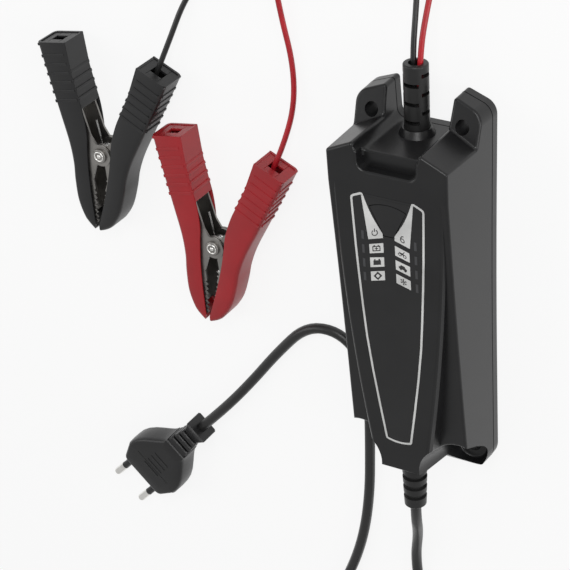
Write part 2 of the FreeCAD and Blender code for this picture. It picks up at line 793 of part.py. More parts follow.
def cord(name, points, diameter):
    wire, radii = cordPath(points)
    solid = tube(wire, diameter)
    share = solid.Volume / (math.pi * diameter * diameter / 4 * wire.Length)
    print(name, "length", round(wire.Length), "least radius", min(radii), "volume share", round(share, 3))
    return solid


# Coils: a cord wound in flat spirals of half turns, one layer in and one out on top of it
def halfTurn(start, heading, side, radius, climb):
    # two arcs that turn the cord by half a turn and lift it by climb
    across = V(-heading.y, heading.x, 0) * side
    end = start + across * (2 * radius) + V(0, 0, climb)
    reach = (end - start).Length / 2
    q0 = start + heading * reach
    q1 = end + heading * reach
    middle = (q0 + q1) * 0.5
    arcs = []
    for a, q, b in ((start, q0, middle), (middle, q1, end)):
        chord = (a + b) * 0.5
        turn = math.pi - (a - q).getAngle(b - q)
        lift = (b - a).Length / 2 * math.tan(turn / 4)
        arcs.append(Part.Arc(a, chord + (q - chord).normalize() * lift, b).toShape())
    return arcs, end


def coilWire(start, heading, side, outerRadius, diameter, turnsIn):
    # 2 * turnsIn half turns inward, one that climbs, and the same outward on the second layer
    pitch = diameter + coilGap
    inward = [outerRadius - k * pitch / 2 for k in range(2 * turnsIn)]
    inner = outerRadius - turnsIn * pitch
    radii = [(r, 0) for r in inward] + [(inner - pitch / 2, pitch)] + [(inner, 0)]
    radii += [(r, 0) for r in reversed(inward[1:])]
    edges = []
    here = V(*start)
    direction = V(heading[0], heading[1], 0).normalize()
    lead = here + direction * diameter
    edges.append(Part.makeLine(here, lead))
    here = lead
    for radius, climb in radii:
        arcs, here = halfTurn(here, direction, side, radius, climb)
        edges += arcs
        direction = direction * -1
    tail = here + direction * diameter
    edges.append(Part.makeLine(here, tail))
    return Part.Wire(edges), tail


def coilGapOf(wire, diameter):
    # least gap of the cord to itself, measured on points along it
    points = wire.discretize(Distance=diameter * 0.35)
    skip = 8
    least = 1e9
    for i in range(0, len(points), 2):
        for j in range(i + skip, len(points), 2):
            least = min(least, (points[i] - points[j]).Length)
    return least - diameter


def coil(name, start, heading, side, outerRadius, diameter, turnsIn):
    wire, tail = coilWire(start, heading, side, outerRadius, diameter, turnsIn)
    solid = tube(wire, diameter)
    share = solid.Volume / (math.pi * diameter * diameter / 4 * wire.Length)
    gap = coilGapOf(wire, diameter)
    print(name, "length", round(wire.Length), "self gap", round(gap, 2), "volume share", round(share, 3),
          "ends at", [round(v, 2) for v in tail])
    return solid


# Plug: a flat two-pin mains plug lying on its broad face
def placeOnFloor(shape, x, y, angle, z=0.0):
    # turns a piece modelled along +X about Z and sets it down at (x, y)
    moved = shape.copy()
    moved.rotate(V(0, 0, 0), V(0, 0, 1), angle)
    moved.translate(V(x, y, z))
    return moved


def plugBody():
    # local frame: pins toward +X, cord end toward -X, middle of the thickness at z = 0
    half = plugWidth / 2
    front = plugLength / 2
    plan = mirrored([
        (half - 3.8, -front, 2.0), (half, -front + 7.0, 3.0), (half - 1.2, -front + 13.0, 6.0),
        (half - 1.6, front - 15.0, 6.0), (half - 4.5, front - 7.0, 3.0), (6.2, front, 2.0)])
    body = prism([(x, y, r) for x, y, r in plan], -plugThick / 2, plugThick / 2)
    body.rotate(V(0, 0, 0), V(0, 0, 1), 90)
    body.rotate(V(0, 0, 0), V(0, 0, 1), 180)
    rims = [e for e in body.Edges if abs(abs(e.CenterOfMass.z) - plugThick / 2) < 0.01]
    body = body.makeFillet(2.4, rims)
    y0 = 5.6
    for i in range(4):
        x = -8.0 + i * 4.0
        body = body.fuse(box(x, x + 1.4, -y0, y0, plugThick / 2 - 0.2, plugThick / 2 + 0.5))
    return body.removeSplitter()


def plugNeck():
    # the segmented square neck behind the body, ending in a collar round the cord
    shape = None
    sizes = [(5.6, 5.2), (5.2, 4.9), (4.8, 4.6), (4.4, 4.3)]
    x = -plugLength / 2 + 0.6
    core = box(-plugLength / 2 - 19.0, x, -3.1, 3.1, -3.1, 3.1)
    shape = core
    for halfY, halfZ in sizes:
        block = box(x - 3.1, x, -halfY, halfY, -halfZ, halfZ)
        block = block.makeChamfer(0.7, [e for e in block.Edges if e.BoundBox.XLength > 3])
        shape = shape.fuse(block)
        x -= 4.4
    end = -plugLength / 2 - 19.0
    collar = Part.makeCone(4.4, 3.4, 3.0, V(end + 1.6, 0, 0), V(-1, 0, 0))
    shape = shape.fuse(collar)
    return shape.cut(cylinder(mainsD / 2 + 0.05, (end - 5, 0, 0), (-plugLength / 2 - 2, 0, 0)))


def plugPins():
    pins = []
    for side in (-1, 1):
        y = side * pinSpacing / 2
        x = plugLength / 2
        pin = cylinder(pinD / 2 - 0.35, (x - 8, y, 0), (x + pinSleeveLength, y, 0))
        tip = cylinder(pinD / 2, (x + pinSleeveLength, y, 0), (x + pinLength, y, 0))
        tip = rounded(tip, 1.6, lambda e: abs(e.BoundBox.XMin - x - pinLength) < 0.01)
        pins.append(pin.fuse(tip).removeSplitter())
    return pins


def pinSleeves():
    sleeves = []
    for side in (-1, 1):
        y = side * pinSpacing / 2
        x = plugLength / 2
        outer = cylinder(pinSleeveD / 2, (x - 1.0, y, 0), (x + pinSleeveLength, y, 0))
        sleeves.append(outer.cut(cylinder(pinD / 2 - 0.35, (x - 3, y, 0), (x + pinSleeveLength + 1, y, 0))))
    return sleeves


def plugPlaced(shape):
    return placeOnFloor(shape, plugX, plugY, plugAngle, plugThick / 2)


# Clips
def clipCover():
    # right half: a moulded channel, open toward the middle, with grip ribs on its outer edge
    radii = [0.5, 3.0, 8.0, 12.0, 12.0, 20.0, 4.0, 2.5]
    innerRadii = [2.0, 12.0, 14.0, 4.0, 6.0, 10.0, 0.3]
    outline = [(x, y, r) for (x, y), r in zip(clipOuter, radii)]
    outline += [(x, y, r) for (x, y), r in zip(clipInner, innerRadii)]
    half = clipThick / 2
    body = prism(outline, -half, half)
    body = rounded(body, 1.2, lambda e: abs(abs(e.CenterOfMass.z) - half) < 0.01 and e.CenterOfMass.x > 12)
    room = half - coverWall
    shrink = 1.9
    cavity = [(x - shrink, y + (2.0 if y < -35 else 0), 0) for x, y in clipOuter[:-1]]
    cavity += [(clipOuter[-1][0] - shrink + 1.2, clipOuter[-1][1] + 6, 0), (clipInner[0][0] - 6, 62, 0)]
    cavity += [(-8, 40, 0), (-8, -30, 0)]
    body = body.cut(prism(cavity, -room, room))
    ribs = None
    for i in range(7):
        t = 0.12 + i * 0.125
        x = clipOuter[5][0] + (clipOuter[7][0] - clipOuter[5][0]) * t
        y = clipOuter[5][1] + (clipOuter[7][1] - clipOuter[5][1]) * t
        groove = box(-2.2, 1.2, -0.8, 0.8, -20, 20)
        groove.rotate(V(0, 0, 0), V(0, 0, 1), -21)
        groove.translate(V(x + 1.7, y, 0))
        ribs = groove if ribs is None else ribs.fuse(groove)
    return body.cut(ribs).removeSplitter()


def jawPlatePlan():
    # side plate of one jaw channel, toothed along its mouth
    points = [(12.0, 24.0, 2.0), (18.6, 23.0, 1.0), (15.2, 8.0, 6.0), (12.0, -12.0, 8.0), (10.2, -26.0, 4.0),
              (5.8, -34.8, 1.5), (1.2, -38.2, 0.3), (0.5, -37.0, 0)]
    for i in range(teethCount):
        y = -36.2 + i * 2.6
        points += [(2.2 + i * 0.28, y - 0.3, 0), (0.6 + i * 0.28, y + 1.1, 0)]
    points += [(3.6, -14.0, 0), (1.6, -4.0, 0), (1.6, 4.0, 0), (5.6, 9.0, 0)]
    return points


def clipJaw(gap):
    # right half channel of sheet steel: two side plates joined by a web along the outer side
    plates = None
    for side in (-1, 1):
        z0, z1 = sorted((side * gap, side * (gap + sheet)))
        plate = prism(jawPlatePlan(), z0, z1)
        plate = plate.fuse(cylinder(lobeR, (0, 0, z0), (0, 0, z1))).fuse(
            prism([(0, -5.2, 0), (10, -5.2, 0), (10, 5.2, 0), (0, 5.2, 0)], z0, z1))
        plate = plate.cut(cylinder(rivetR + 0.05, (0, 0, -20), (0, 0, 20)))
        plates = plate if plates is None else plates.fuse(plate)
    web = [(18.6, 23.0, 0), (15.2, 8.0, 0), (12.0, -12.0, 0), (10.2, -26.0, 0), (5.8, -34.8, 0)]
    strip = web + [(x - sheet * 1.1, y, 0) for x, y, r in reversed(web)]
    bridge = prism(strip, -gap - 0.5, gap + 0.5)
    return plates.fuse(bridge).removeSplitter()


def clipRivet():
    half = platesOut + sheet
    shank = cylinder(rivetR, (0, 0, -half - 0.3), (0, 0, half + 0.3))
    heads = [cylinder(3.6, (0, 0, z0), (0, 0, z1)) for z0, z1 in ((half + 0.02, half + 1.3), (-half - 1.3, -half - 0.02))]
    heads = [rounded(h, 0.6, lambda e, s=s: abs(abs(e.BoundBox.ZMin) - half - 1.3) < 0.01) for s, h in enumerate(heads)]
    return shank.fuse(heads[0]).fuse(heads[1]).removeSplitter()


def clipSpring():
    # a torsion spring round the rivet with a leg up each handle
    pitch = springWire + 0.35
    turns = 2 + (180 - 2 * clipHalfAngle) / 360
    start = math.radians(180 + clipHalfAngle)
    count = 14
    step = math.radians(360 * turns) / (count * 2)
    rise = pitch * turns / (count * 2)
    z0 = -pitch * turns / 2
    points = []
    for i in range(count * 2 + 1):
        a = start + step * i
        points.append(V(springR * math.cos(a), springR * math.sin(a), z0 + rise * i))
    edges = [Part.Arc(points[i], points[i + 1], points[i + 2]).toShape() for i in range(0, count * 2, 2)]
    first, last = edges[0], edges[-1]
    headIn = first.tangentAt(first.FirstParameter)
    headOut = last.tangentAt(last.LastParameter)
    edges.insert(0, Part.makeLine(points[0] - headIn * springLeg, points[0]))
    edges.append(Part.makeLine(points[-1], points[-1] + headOut * springLeg))
    return tube(Part.Wire(edges), springWire)


def placeClip(shape, place, side=1):
    # side -1 gives the half whose handle points to the left
    half = shape if side == 1 else mirrorX(shape)
    x, y, angle = place
    return placeOnFloor(half, x, y, angle, clipThick / 2)


def displayHung():
    shell = frontShell()
    for post, (x, y) in zip(displayPosts(), displaySpots()):
        hole = cylinder(pilotD / 2, (x, y, displayTop() - 1), (x, y, displayTop() + 4.6))
        shell = shell.fuse(post).cut(hole)
    return shell.removeSplitter()


def save(name, shape):
    solids = shape if isinstance(shape, list) else [shape]
    compound = solids[0] if len(solids) == 1 else Part.makeCompound(solids)
    counted = len(compound.Solids)
    if not compound.isValid() or counted < 1:
        print("not sound:", name)
    print(name, "solids", counted, "volume", round(compound.Volume))
    compound.exportStep("parts/" + name + ".step")


def buildHousing():
    save("front_shell", displayHung())
    save("rear_cover", rearCover())
    save("case_seal", sealRing(-0.05, coverThick - sealThick + 0.02, coverThick))
    save("case_screws", caseScrews())
    save("fascia_film", fasciaFilm())
    save("mode_button", modeButton())
    save("light_bars", lightBars())


def buildBoards():
    save("display_board", displayBoard())
    save("display_screws", displayScrews())
    save("display_leds", displayLeds())
    save("switch_body", switchBody())
    save("switch_plunger", switchPlunger())
    save("main_board", mainBoard())
    save("board_screws", boardScrews())
    save("board_link", boardLink())
    save("transformer_core", transformerCore())
    save("transformer_winding", transformerWinding())
    save("input_capacitor", canCapacitor(-8.0, 12.0, 8.0, 20.0))
    save("output_capacitors", [canCapacitor(12.0, y, 4.0, 14.0) for y in (28.0, 40.0, 52.0)])
    save("line_choke", lineChoke())
    save("fuse", fuseBody())
    save("bridge_rectifier", bridgeRectifier())
    save("heat_sink", heatSink())
    save("power_transistor", powerTransistor())


def buildCords():
    save("output_strain_relief", outputSleeve())
    save("mains_strain_relief", mainsSleeve())
    save("mains_cord", cord("mains_cord", mainsRoute, mainsD))
    save("mains_coil", coil("mains_coil", *mainsCoilStart[:4], mainsD, mainsCoilStart[4]))
    save("plug_cord", cord("plug_cord", plugRoute, mainsD))
    save("black_lead", cord("black_lead", blackRoute, leadD))
    save("black_coil", coil("black_coil", *blackCoilStart[:4], leadD, blackCoilStart[4]))
    save("black_clip_lead", cord("black_clip_lead", blackClipRoute, leadD))
    save("red_lead", cord("red_lead", redRoute, leadD))
    save("red_coil", coil("red_coil", *redCoilStart[:4], leadD, redCoilStart[4]))
    save("red_clip_lead", cord("red_clip_lead", redClipRoute, leadD))
    body = plugBody()
    pins = plugPins()
    for pin in pins:
        body = body.cut(pin)
    sleeves = pinSleeves()
    for sleeve in sleeves:
        body = body.cut(sleeve)
    save("plug_body", plugPlaced(body.fuse(plugNeck()).removeSplitter()))
    save("plug_pins", [plugPlaced(pin) for pin in pins])
    save("pin_sleeves", [plugPlaced(sleeve) for sleeve in sleeves])


def buildClips():
    cover = clipCover()
    inner, outer = clipJaw(platesIn), clipJaw(platesOut)
    for colour, place in (("black", blackClip), ("red", redClip)):
        save(colour + "_lead_cover", placeClip(cover, place))
        save(colour + "_free_cover", placeClip(cover, place, -1))
        save(colour + "_lead_jaw", placeClip(inner, place))
        save(colour + "_free_jaw", placeClip(outer, place, -1))
        save(colour + "_rivet", placeClip(clipRivet(), place))
        save(colour + "_spring", placeClip(clipSpring(), place))


os.makedirs("parts", exist_ok=True)
buildHousing()
buildBoards()
buildCords()
buildClips()
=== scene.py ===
import math
import bmesh
import bpy
from mathutils import Matrix, Vector


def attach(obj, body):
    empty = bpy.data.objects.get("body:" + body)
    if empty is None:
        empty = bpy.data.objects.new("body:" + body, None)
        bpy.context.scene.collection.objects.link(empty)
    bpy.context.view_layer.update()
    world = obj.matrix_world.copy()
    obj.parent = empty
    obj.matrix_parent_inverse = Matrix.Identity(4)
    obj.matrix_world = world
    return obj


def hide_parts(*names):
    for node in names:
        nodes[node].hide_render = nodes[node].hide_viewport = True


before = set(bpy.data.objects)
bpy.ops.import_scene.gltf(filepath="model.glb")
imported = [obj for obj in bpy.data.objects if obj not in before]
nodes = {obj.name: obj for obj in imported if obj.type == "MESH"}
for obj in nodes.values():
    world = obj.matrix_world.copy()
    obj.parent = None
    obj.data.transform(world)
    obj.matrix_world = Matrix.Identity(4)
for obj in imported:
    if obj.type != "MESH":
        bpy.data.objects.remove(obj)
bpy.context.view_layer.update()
scene = bpy.context.scene
mm = 0.001


# Small tools

def point(*values):
    return Vector([v * mm for v in values])


def newObject(name, mesh):
    obj = bpy.data.objects.new(name, mesh)
    scene.collection.objects.link(obj)
    return obj


def bmeshObject(name, bm, material):
    mesh = bpy.data.meshes.new(name)
    bm.to_mesh(mesh)
    bm.free()
    mesh.materials.append(material)
    return newObject(name, mesh)


def weldedObject(name, bm, material):
    # double points welded, faces turned outward and shaded smooth
    bmesh.ops.remove_doubles(bm, verts=bm.verts, dist=1e-6)
    bmesh.ops.recalc_face_normals(bm, faces=bm.faces)
    for face in bm.faces:
        face.smooth = True
    return bmeshObject(name, bm, material)


def band(bm, a, b):
    # a closed band of quads between two rings of points
    for i in range(len(a)):
        j = (i + 1) % len(a)
        bm.faces.new((a[i], a[j], b[j], b[i]))


def smoothByAngle(obj, degrees=35):
    # soft shading across shallow folds, crisp across the steep ones
    limit = math.radians(degrees)
    bm = bmesh.new()
    bm.from_mesh(obj.data)
    for edge in bm.edges:
        edge.smooth = len(edge.link_faces) == 2 and edge.calc_face_angle(0) < limit
    for face in bm.faces:
        face.smooth = True
    bm.to_mesh(obj.data)
    bm.free()


def plain(obj):
    # turns what the modifiers give into a plain mesh
    graph = bpy.context.evaluated_depsgraph_get()
    graph.update()
    mesh = bpy.data.meshes.new_from_object(obj.evaluated_get(graph))
    obj.modifiers.clear()
    old = obj.data
    obj.data = mesh
    bpy.data.meshes.remove(old)
    return obj


# Materials

def nodeMaterial(name, colour, roughness, metallic=0.0):
    material = bpy.data.materials.new(name)
    material.use_nodes = True
    tree = material.node_tree
    shader = tree.nodes["Principled BSDF"]
    shader.inputs["Base Color"].default_value = (*colour, 1)
    shader.inputs["Roughness"].default_value = roughness
    shader.inputs["Metallic"].default_value = metallic
    return material, tree, shader


def addNode(tree, kind, **settings):
    node = tree.nodes.new(kind)
    for key, value in settings.items():
        if key in node.inputs:
            node.inputs[key].default_value = value
        else:
            setattr(node, key, value)
    return node


def patchyFinish(tree, shader, noise, gloss, colours, span):
    # gloss and colour that drift with a slow noise
    link = tree.links.new
    spread = addNode(tree, "ShaderNodeMapRange")
    spread.inputs["To Min"].default_value, spread.inputs["To Max"].default_value = gloss
    link(noise.outputs["Fac"], spread.inputs["Value"])
    link(spread.outputs["Result"], shader.inputs["Roughness"])
    ramp = addNode(tree, "ShaderNodeValToRGB")
    for stop, colour, place in zip(ramp.color_ramp.elements, colours, span):
        stop.color, stop.position = (*colour, 1), place
    link(noise.outputs["Fac"], ramp.inputs["Fac"])
    link(ramp.outputs["Color"], shader.inputs["Base Color"])


plasticBase = {
    "grainDetail": 3.0, "grainRough": 0.6, "cellShare": 0.7, "grainDepth": 0.00004, "cloudScale": 60.0,
    "cloudDetail": 4.0, "glossSpread": 0.05, "shadeLow": 0.85, "shadeHigh": 1.15, "span": (0.3, 0.7), "specular": 0.5,
}


def mouldedPlastic(name, own):
    # plastic with a fine moulded grain, patchy gloss and a slightly uneven colour
    look = {**plasticBase, **own}
    material, tree, shader = nodeMaterial(name, look["colour"], look["roughness"])
    link = tree.links.new
    coords = addNode(tree, "ShaderNodeTexCoord")
    grain = addNode(tree, "ShaderNodeTexNoise", Scale=look["grainScale"], Detail=look["grainDetail"],
                    Roughness=look["grainRough"])
    cells = addNode(tree, "ShaderNodeTexVoronoi", Scale=look["grainScale"] * look["cellShare"])
    cloud = addNode(tree, "ShaderNodeTexNoise", Scale=look["cloudScale"], Detail=look["cloudDetail"])
    for texture in (grain, cells, cloud):
        link(coords.outputs["Object"], texture.inputs["Vector"])
    mix = addNode(tree, "ShaderNodeMath", operation="ADD")
    link(grain.outputs["Fac"], mix.inputs[0])
    link(cells.outputs["Distance"], mix.inputs[1])
    bump = addNode(tree, "ShaderNodeBump", Strength=look["grain"], Distance=look["grainDepth"])
    link(mix.outputs[0], bump.inputs["Height"])
    link(bump.outputs["Normal"], shader.inputs["Normal"])
    low = [c * look["shadeLow"] for c in look["colour"]]
    high = [min(1, c * look["shadeHigh"]) for c in look["colour"]]
    gloss = (look["roughness"] - look["glossSpread"], look["roughness"] + look["glossSpread"])
    patchyFinish(tree, shader, cloud, gloss, (low, high), look["span"])
    shader.inputs["Specular IOR Level"].default_value = look["specular"]
    return material


metalBase = {
    "turn": 0, "stretch": (1, 0.06, 1), "brushScale": 3500.0, "brushDetail": 2.0, "brush": 0.15, "depth": 0.00003,
    "patchScale": 140.0, "patchDetail": 5.0, "glossDown": 0.08, "glossUp": 0.12, "shade": 0.8, "span": (0.35, 0.65),
}


def sheetMetal(name, own):
    # rolled or plated metal with faint brushing and dull patches
    look = {**metalBase, **own}
    material, tree, shader = nodeMaterial(name, look["colour"], look["roughness"], 1.0)
    link = tree.links.new
    coords = addNode(tree, "ShaderNodeTexCoord")
    stretch = addNode(tree, "ShaderNodeMapping")
    stretch.inputs["Rotation"].default_value = (0, 0, math.radians(look["turn"]))
    stretch.inputs["Scale"].default_value = look["stretch"]
    brush = addNode(tree, "ShaderNodeTexNoise", Scale=look["brushScale"], Detail=look["brushDetail"])
    patch = addNode(tree, "ShaderNodeTexNoise", Scale=look["patchScale"], Detail=look["patchDetail"])
    link(coords.outputs["Object"], stretch.inputs["Vector"])
    link(stretch.outputs["Vector"], brush.inputs["Vector"])
    link(coords.outputs["Object"], patch.inputs["Vector"])
    bump = addNode(tree, "ShaderNodeBump", Strength=look["brush"], Distance=look["depth"])
    link(brush.outputs["Fac"], bump.inputs["Height"])
    link(bump.outputs["Normal"], shader.inputs["Normal"])
    dull = [c * look["shade"] for c in look["colour"]]
    gloss = (look["roughness"] - look["glossDown"], look["roughness"] + look["glossUp"])
    patchyFinish(tree, shader, patch, gloss, (dull, look["colour"]), look["span"])
    return material


looks = {
    # painted shade: near-black, dull and nearly without gloss, for the shadow in the parting groove
    "grooveShadeBlack": {"colour": (0.0015, 0.0015, 0.0015), "roughness": 0.8, "specular": 0.1,
                  "grainScale": 7000.0, "grain": 0.05},
    "caseBlack": {"colour": (0.010, 0.010, 0.0105), "roughness": 0.30, "specular": 0.34,
                  "grainScale": 5200.0, "grain": 0.16},
    "fasciaBlack": {"colour": (0.012, 0.012, 0.0125), "roughness": 0.36, "specular": 0.36,
                    "grainScale": 7000.0, "grain": 0.10},
    "keyBlack": {"colour": (0.012, 0.012, 0.0125), "roughness": 0.40, "specular": 0.36,
                 "grainScale": 7000.0, "grain": 0.12},
    "printWhite": {"colour": (0.66, 0.66, 0.65), "roughness": 0.5, "grainScale": 9000.0, "grain": 0.05},
    "printBlack": {"colour": (0.018, 0.018, 0.018), "roughness": 0.5, "grainScale": 9000.0, "grain": 0.05},
    "smokedGuide": {"colour": (0.045, 0.045, 0.048), "roughness": 0.3, "grainScale": 6000.0, "grain": 0.04},
    "sleeveBlack": {"colour": (0.011, 0.011, 0.011), "roughness": 0.38, "specular": 0.4,
                    "grainScale": 4200.0, "grain": 0.2},
    "cordBlack": {"colour": (0.009, 0.009, 0.009), "roughness": 0.36, "grainScale": 2600.0, "grain": 0.16},
    "leadBlack": {"colour": (0.010, 0.010, 0.010), "roughness": 0.33, "grainScale": 2600.0, "grain": 0.12},
    "leadRed": {"colour": (0.42, 0.010, 0.018), "roughness": 0.33, "grainScale": 2600.0, "grain": 0.12},
    "plugBlack": {"colour": (0.010, 0.010, 0.0105), "roughness": 0.34, "specular": 0.42,
                  "grainScale": 4200.0, "grain": 0.24},
    "coverBlack": {"colour": (0.011, 0.011, 0.0115), "roughness": 0.38, "specular": 0.42,
                   "grainScale": 3600.0, "grain": 0.25},
    "coverRed": {"colour": (0.36, 0.013, 0.018), "roughness": 0.38, "grainScale": 3600.0, "grain": 0.20,
                 "shadeLow": 0.9, "shadeHigh": 1.08},
    "sealBlack": {"colour": (0.03, 0.03, 0.03), "roughness": 0.7, "grainScale": 3000.0, "grain": 0.3},
    "boardGreen": {"colour": (0.04, 0.19, 0.07), "roughness": 0.4, "grainScale": 3000.0, "grain": 0.1},
    "ribbonGrey": {"colour": (0.55, 0.55, 0.55), "roughness": 0.5, "grainScale": 3000.0, "grain": 0.1},
    "ferriteGrey": {"colour": (0.05, 0.05, 0.052), "roughness": 0.75, "grainScale": 2500.0, "grain": 0.4},
    "windingTape": {"colour": (0.62, 0.42, 0.06), "roughness": 0.35, "grainScale": 2500.0, "grain": 0.15},
    "canSleeve": {"colour": (0.02, 0.03, 0.09), "roughness": 0.3, "grainScale": 2500.0, "grain": 0.1},
    "fuseBody": {"colour": (0.72, 0.70, 0.64), "roughness": 0.4, "grainScale": 2500.0, "grain": 0.1},
    "chipBlack": {"colour": (0.02, 0.02, 0.02), "roughness": 0.5, "grainScale": 4000.0, "grain": 0.3},
    "ledWhite": {"colour": (0.8, 0.8, 0.74), "roughness": 0.25, "grainScale": 4000.0, "grain": 0.05},
}
metals = {
    "jawSteel": {"colour": (0.30, 0.29, 0.275), "roughness": 0.40, "turn": 8},
    "springSteel": {"colour": (0.55, 0.55, 0.54), "roughness": 0.28},
    "pinNickel": {"colour": (0.86, 0.85, 0.82), "roughness": 0.16, "turn": 46},
    "screwSteel": {"colour": (0.55, 0.55, 0.56), "roughness": 0.3},
    "sinkAluminium": {"colour": (0.74, 0.74, 0.76), "roughness": 0.4},
}
finish = {name: mouldedPlastic(name, look) for name, look in looks.items()}
finish.update({name: sheetMetal(name, look) for name, look in metals.items()})
print("materials:", len(finish))


# Finishes of the CAD nodes

nodeFinish = {
    "front_shell": "caseBlack", "rear_cover": "caseBlack", "case_seal": "sealBlack", "case_screws": "screwSteel",
    "fascia_film": "fasciaBlack", "mode_button": "keyBlack", "light_bars": "smokedGuide",
    "display_board": "boardGreen", "display_screws": "screwSteel", "display_leds": "ledWhite",
    "switch_body": "chipBlack", "switch_plunger": "chipBlack", "main_board": "boardGreen",
    "board_screws": "screwSteel", "board_link": "ribbonGrey", "transformer_core": "ferriteGrey",
    "transformer_winding": "windingTape", "input_capacitor": "canSleeve", "output_capacitors": "canSleeve",
    "line_choke": "ferriteGrey", "fuse": "fuseBody", "bridge_rectifier": "chipBlack",
    "heat_sink": "sinkAluminium", "power_transistor": "chipBlack",
    "output_strain_relief": "sleeveBlack", "mains_strain_relief": "sleeveBlack",
    "mains_cord": "cordBlack", "mains_coil": "cordBlack", "plug_cord": "cordBlack",
    "black_lead": "leadBlack", "black_coil": "leadBlack", "black_clip_lead": "leadBlack",
    "red_lead": "leadRed", "red_coil": "leadRed", "red_clip_lead": "leadRed",
    "plug_body": "plugBlack", "plug_pins": "pinNickel", "pin_sleeves": "plugBlack",
}
for colour, cover in (("black", "coverBlack"), ("red", "coverRed")):
    for half in ("lead", "free"):
        nodeFinish[f"{colour}_{half}_cover"] = cover
        nodeFinish[f"{colour}_{half}_jaw"] = "jawSteel"
    nodeFinish[f"{colour}_rivet"] = "jawSteel"
    nodeFinish[f"{colour}_spring"] = "springSteel"
for name, node in nodes.items():
    node.data.materials.clear()
    node.data.materials.append(finish[nodeFinish[name]])
print("nodes dressed:", len(nodes))


# Cords: one smooth line each, from the housing through its coil to the far end

cords = {
    "mains": {
        "diameter": 5.2, "material": "cordBlack", "slot": "cord_black", "exit": (0, -112.4, 27), "length": 1.70,
        "nodes": ("mains_cord", "mains_coil", "plug_cord"), "far": "plug", "stiffness": "medium",
        "out": [(0.0, -95.0, 27.0), (-0.2, -120.0, 26.9), (-7.5, -143.0, 11.0), (-14.0, -166.0, 2.7),
                (-11.5, -190.0, 2.65), (-1.0, -210.0, 2.65), (8.0, -229.0, 2.65), (8.0, -248.0, 2.65)],
        "coil": {"heading": (0, -1), "side": -1, "radius": 39.0, "turnsIn": 3},
        "back": [(-64.35, -248.0, 8.3), (-64.35, -226.0, 7.4), (-59.0, -204.0, 3.2), (-49.5, -183.0, 2.65),
                 (-42.5, -160.0, 2.65), (-38.6, -134.0, 2.65), (-37.4, -107.0, 2.65), (-36.8, -82.0, 2.65),
                 (-37.8, -59.0, 2.65), (-50.5, -44.5, 2.65), (-69.5, -46.0, 2.65), (-87.0, -66.0, 2.65),
                 (-103.5, -88.0, 3.4), (-119.3, -106.9, 6.85), (-135.9, -124.1, 6.85)],
    },
    "black": {
        "diameter": 2.6, "material": "leadBlack", "slot": "lead_black", "exit": (-1.45, 109.6, 16), "length": 0.92,
        "nodes": ("black_lead", "black_coil", "black_clip_lead"), "far": "fitting", "stiffness": "limp",
        "out": [(-1.45, 92.0, 16.0), (-1.6, 113.0, 15.6), (-2.6, 133.0, 9.0), (-5.0, 154.0, 1.5),
                (-5.0, 172.0, 1.35)],
        "coil": {"heading": (0, 1), "side": 1, "radius": 21.0, "turnsIn": 3},
        "back": [(-43.95, 172.0, 4.4), (-43.95, 155.0, 3.2), (-54.0, 140.0, 1.35), (-72.0, 134.0, 1.35),
                 (-93.0, 133.0, 1.35), (-112.0, 126.0, 1.35), (-124.0, 111.0, 2.0), (-131.0, 92.0, 6.2),
                 (-142.4, 67.6, 7.5), (-154.1, 46.2, 7.5), (-157.2, 40.5, 7.5)],
    },
    "red": {
        "diameter": 2.6, "material": "leadRed", "slot": "lead_red", "exit": (1.45, 109.6, 16), "length": 1.02,
        "nodes": ("red_lead", "red_coil", "red_clip_lead"), "far": "fitting", "stiffness": "limp",
        "out": [(1.45, 92.0, 16.0), (1.6, 113.0, 15.6), (2.6, 133.0, 9.0), (5.0, 155.0, 1.5),
                (7.5, 179.0, 1.35), (6.0, 201.0, 1.35), (6.0, 220.0, 1.35)],
        "coil": {"heading": (0, 1), "side": 1, "radius": 21.0, "turnsIn": 3},
        "back": [(-32.95, 220.0, 4.4), (-33.5, 206.0, 3.0), (-44.0, 196.0, 1.5), (-58.0, 185.0, 1.35),
                 (-69.0, 169.0, 1.6), (-74.0, 152.0, 3.6), (-74.5, 133.0, 4.9), (-73.0, 112.0, 2.6),
                 (-69.0, 90.0, 1.5), (-68.5, 70.0, 3.4), (-73.5, 51.0, 6.8), (-82.4, 31.6, 7.5),
                 (-94.1, 10.2, 7.5), (-97.2, 4.5, 7.5)],
    },
}
coilGap = 0.45
halfTurnPoints = 6
cordParts = {"round": 3, "along": 6}


def coilTurns(start, diameter, coil):
    # half turns that wind inward on the floor, climb, and wind outward on top
    pitch = diameter + coilGap
    turnsIn = coil["turnsIn"]
    inward = [coil["radius"] - k * pitch / 2 for k in range(2 * turnsIn)]
    inner = coil["radius"] - turnsIn * pitch
    halves = [(r, 0) for r in inward] + [(inner - pitch / 2, pitch), (inner, 0)]
    halves += [(r, 0) for r in reversed(inward[1:])]
    heading = Vector((*coil["heading"], 0))
    here = Vector(start) + heading * diameter
    points = []
    steps = halfTurnPoints
    for radius, climb in halves:
        across = Vector((-heading.y, heading.x, 0)) * coil["side"]
        centre = here + across * radius
        reach = radius / math.cos(math.pi / 2 / steps)
        for i in range(steps):
            share = (i + 0.5) / steps
            turn = math.pi * share
            spot = centre - across * (math.cos(turn) * reach) + heading * (math.sin(turn) * reach)
            points.append(spot + Vector((0, 0, climb * share)))
        here = here + across * (2 * radius) + Vector((0, 0, climb))
        heading = -heading
    return points


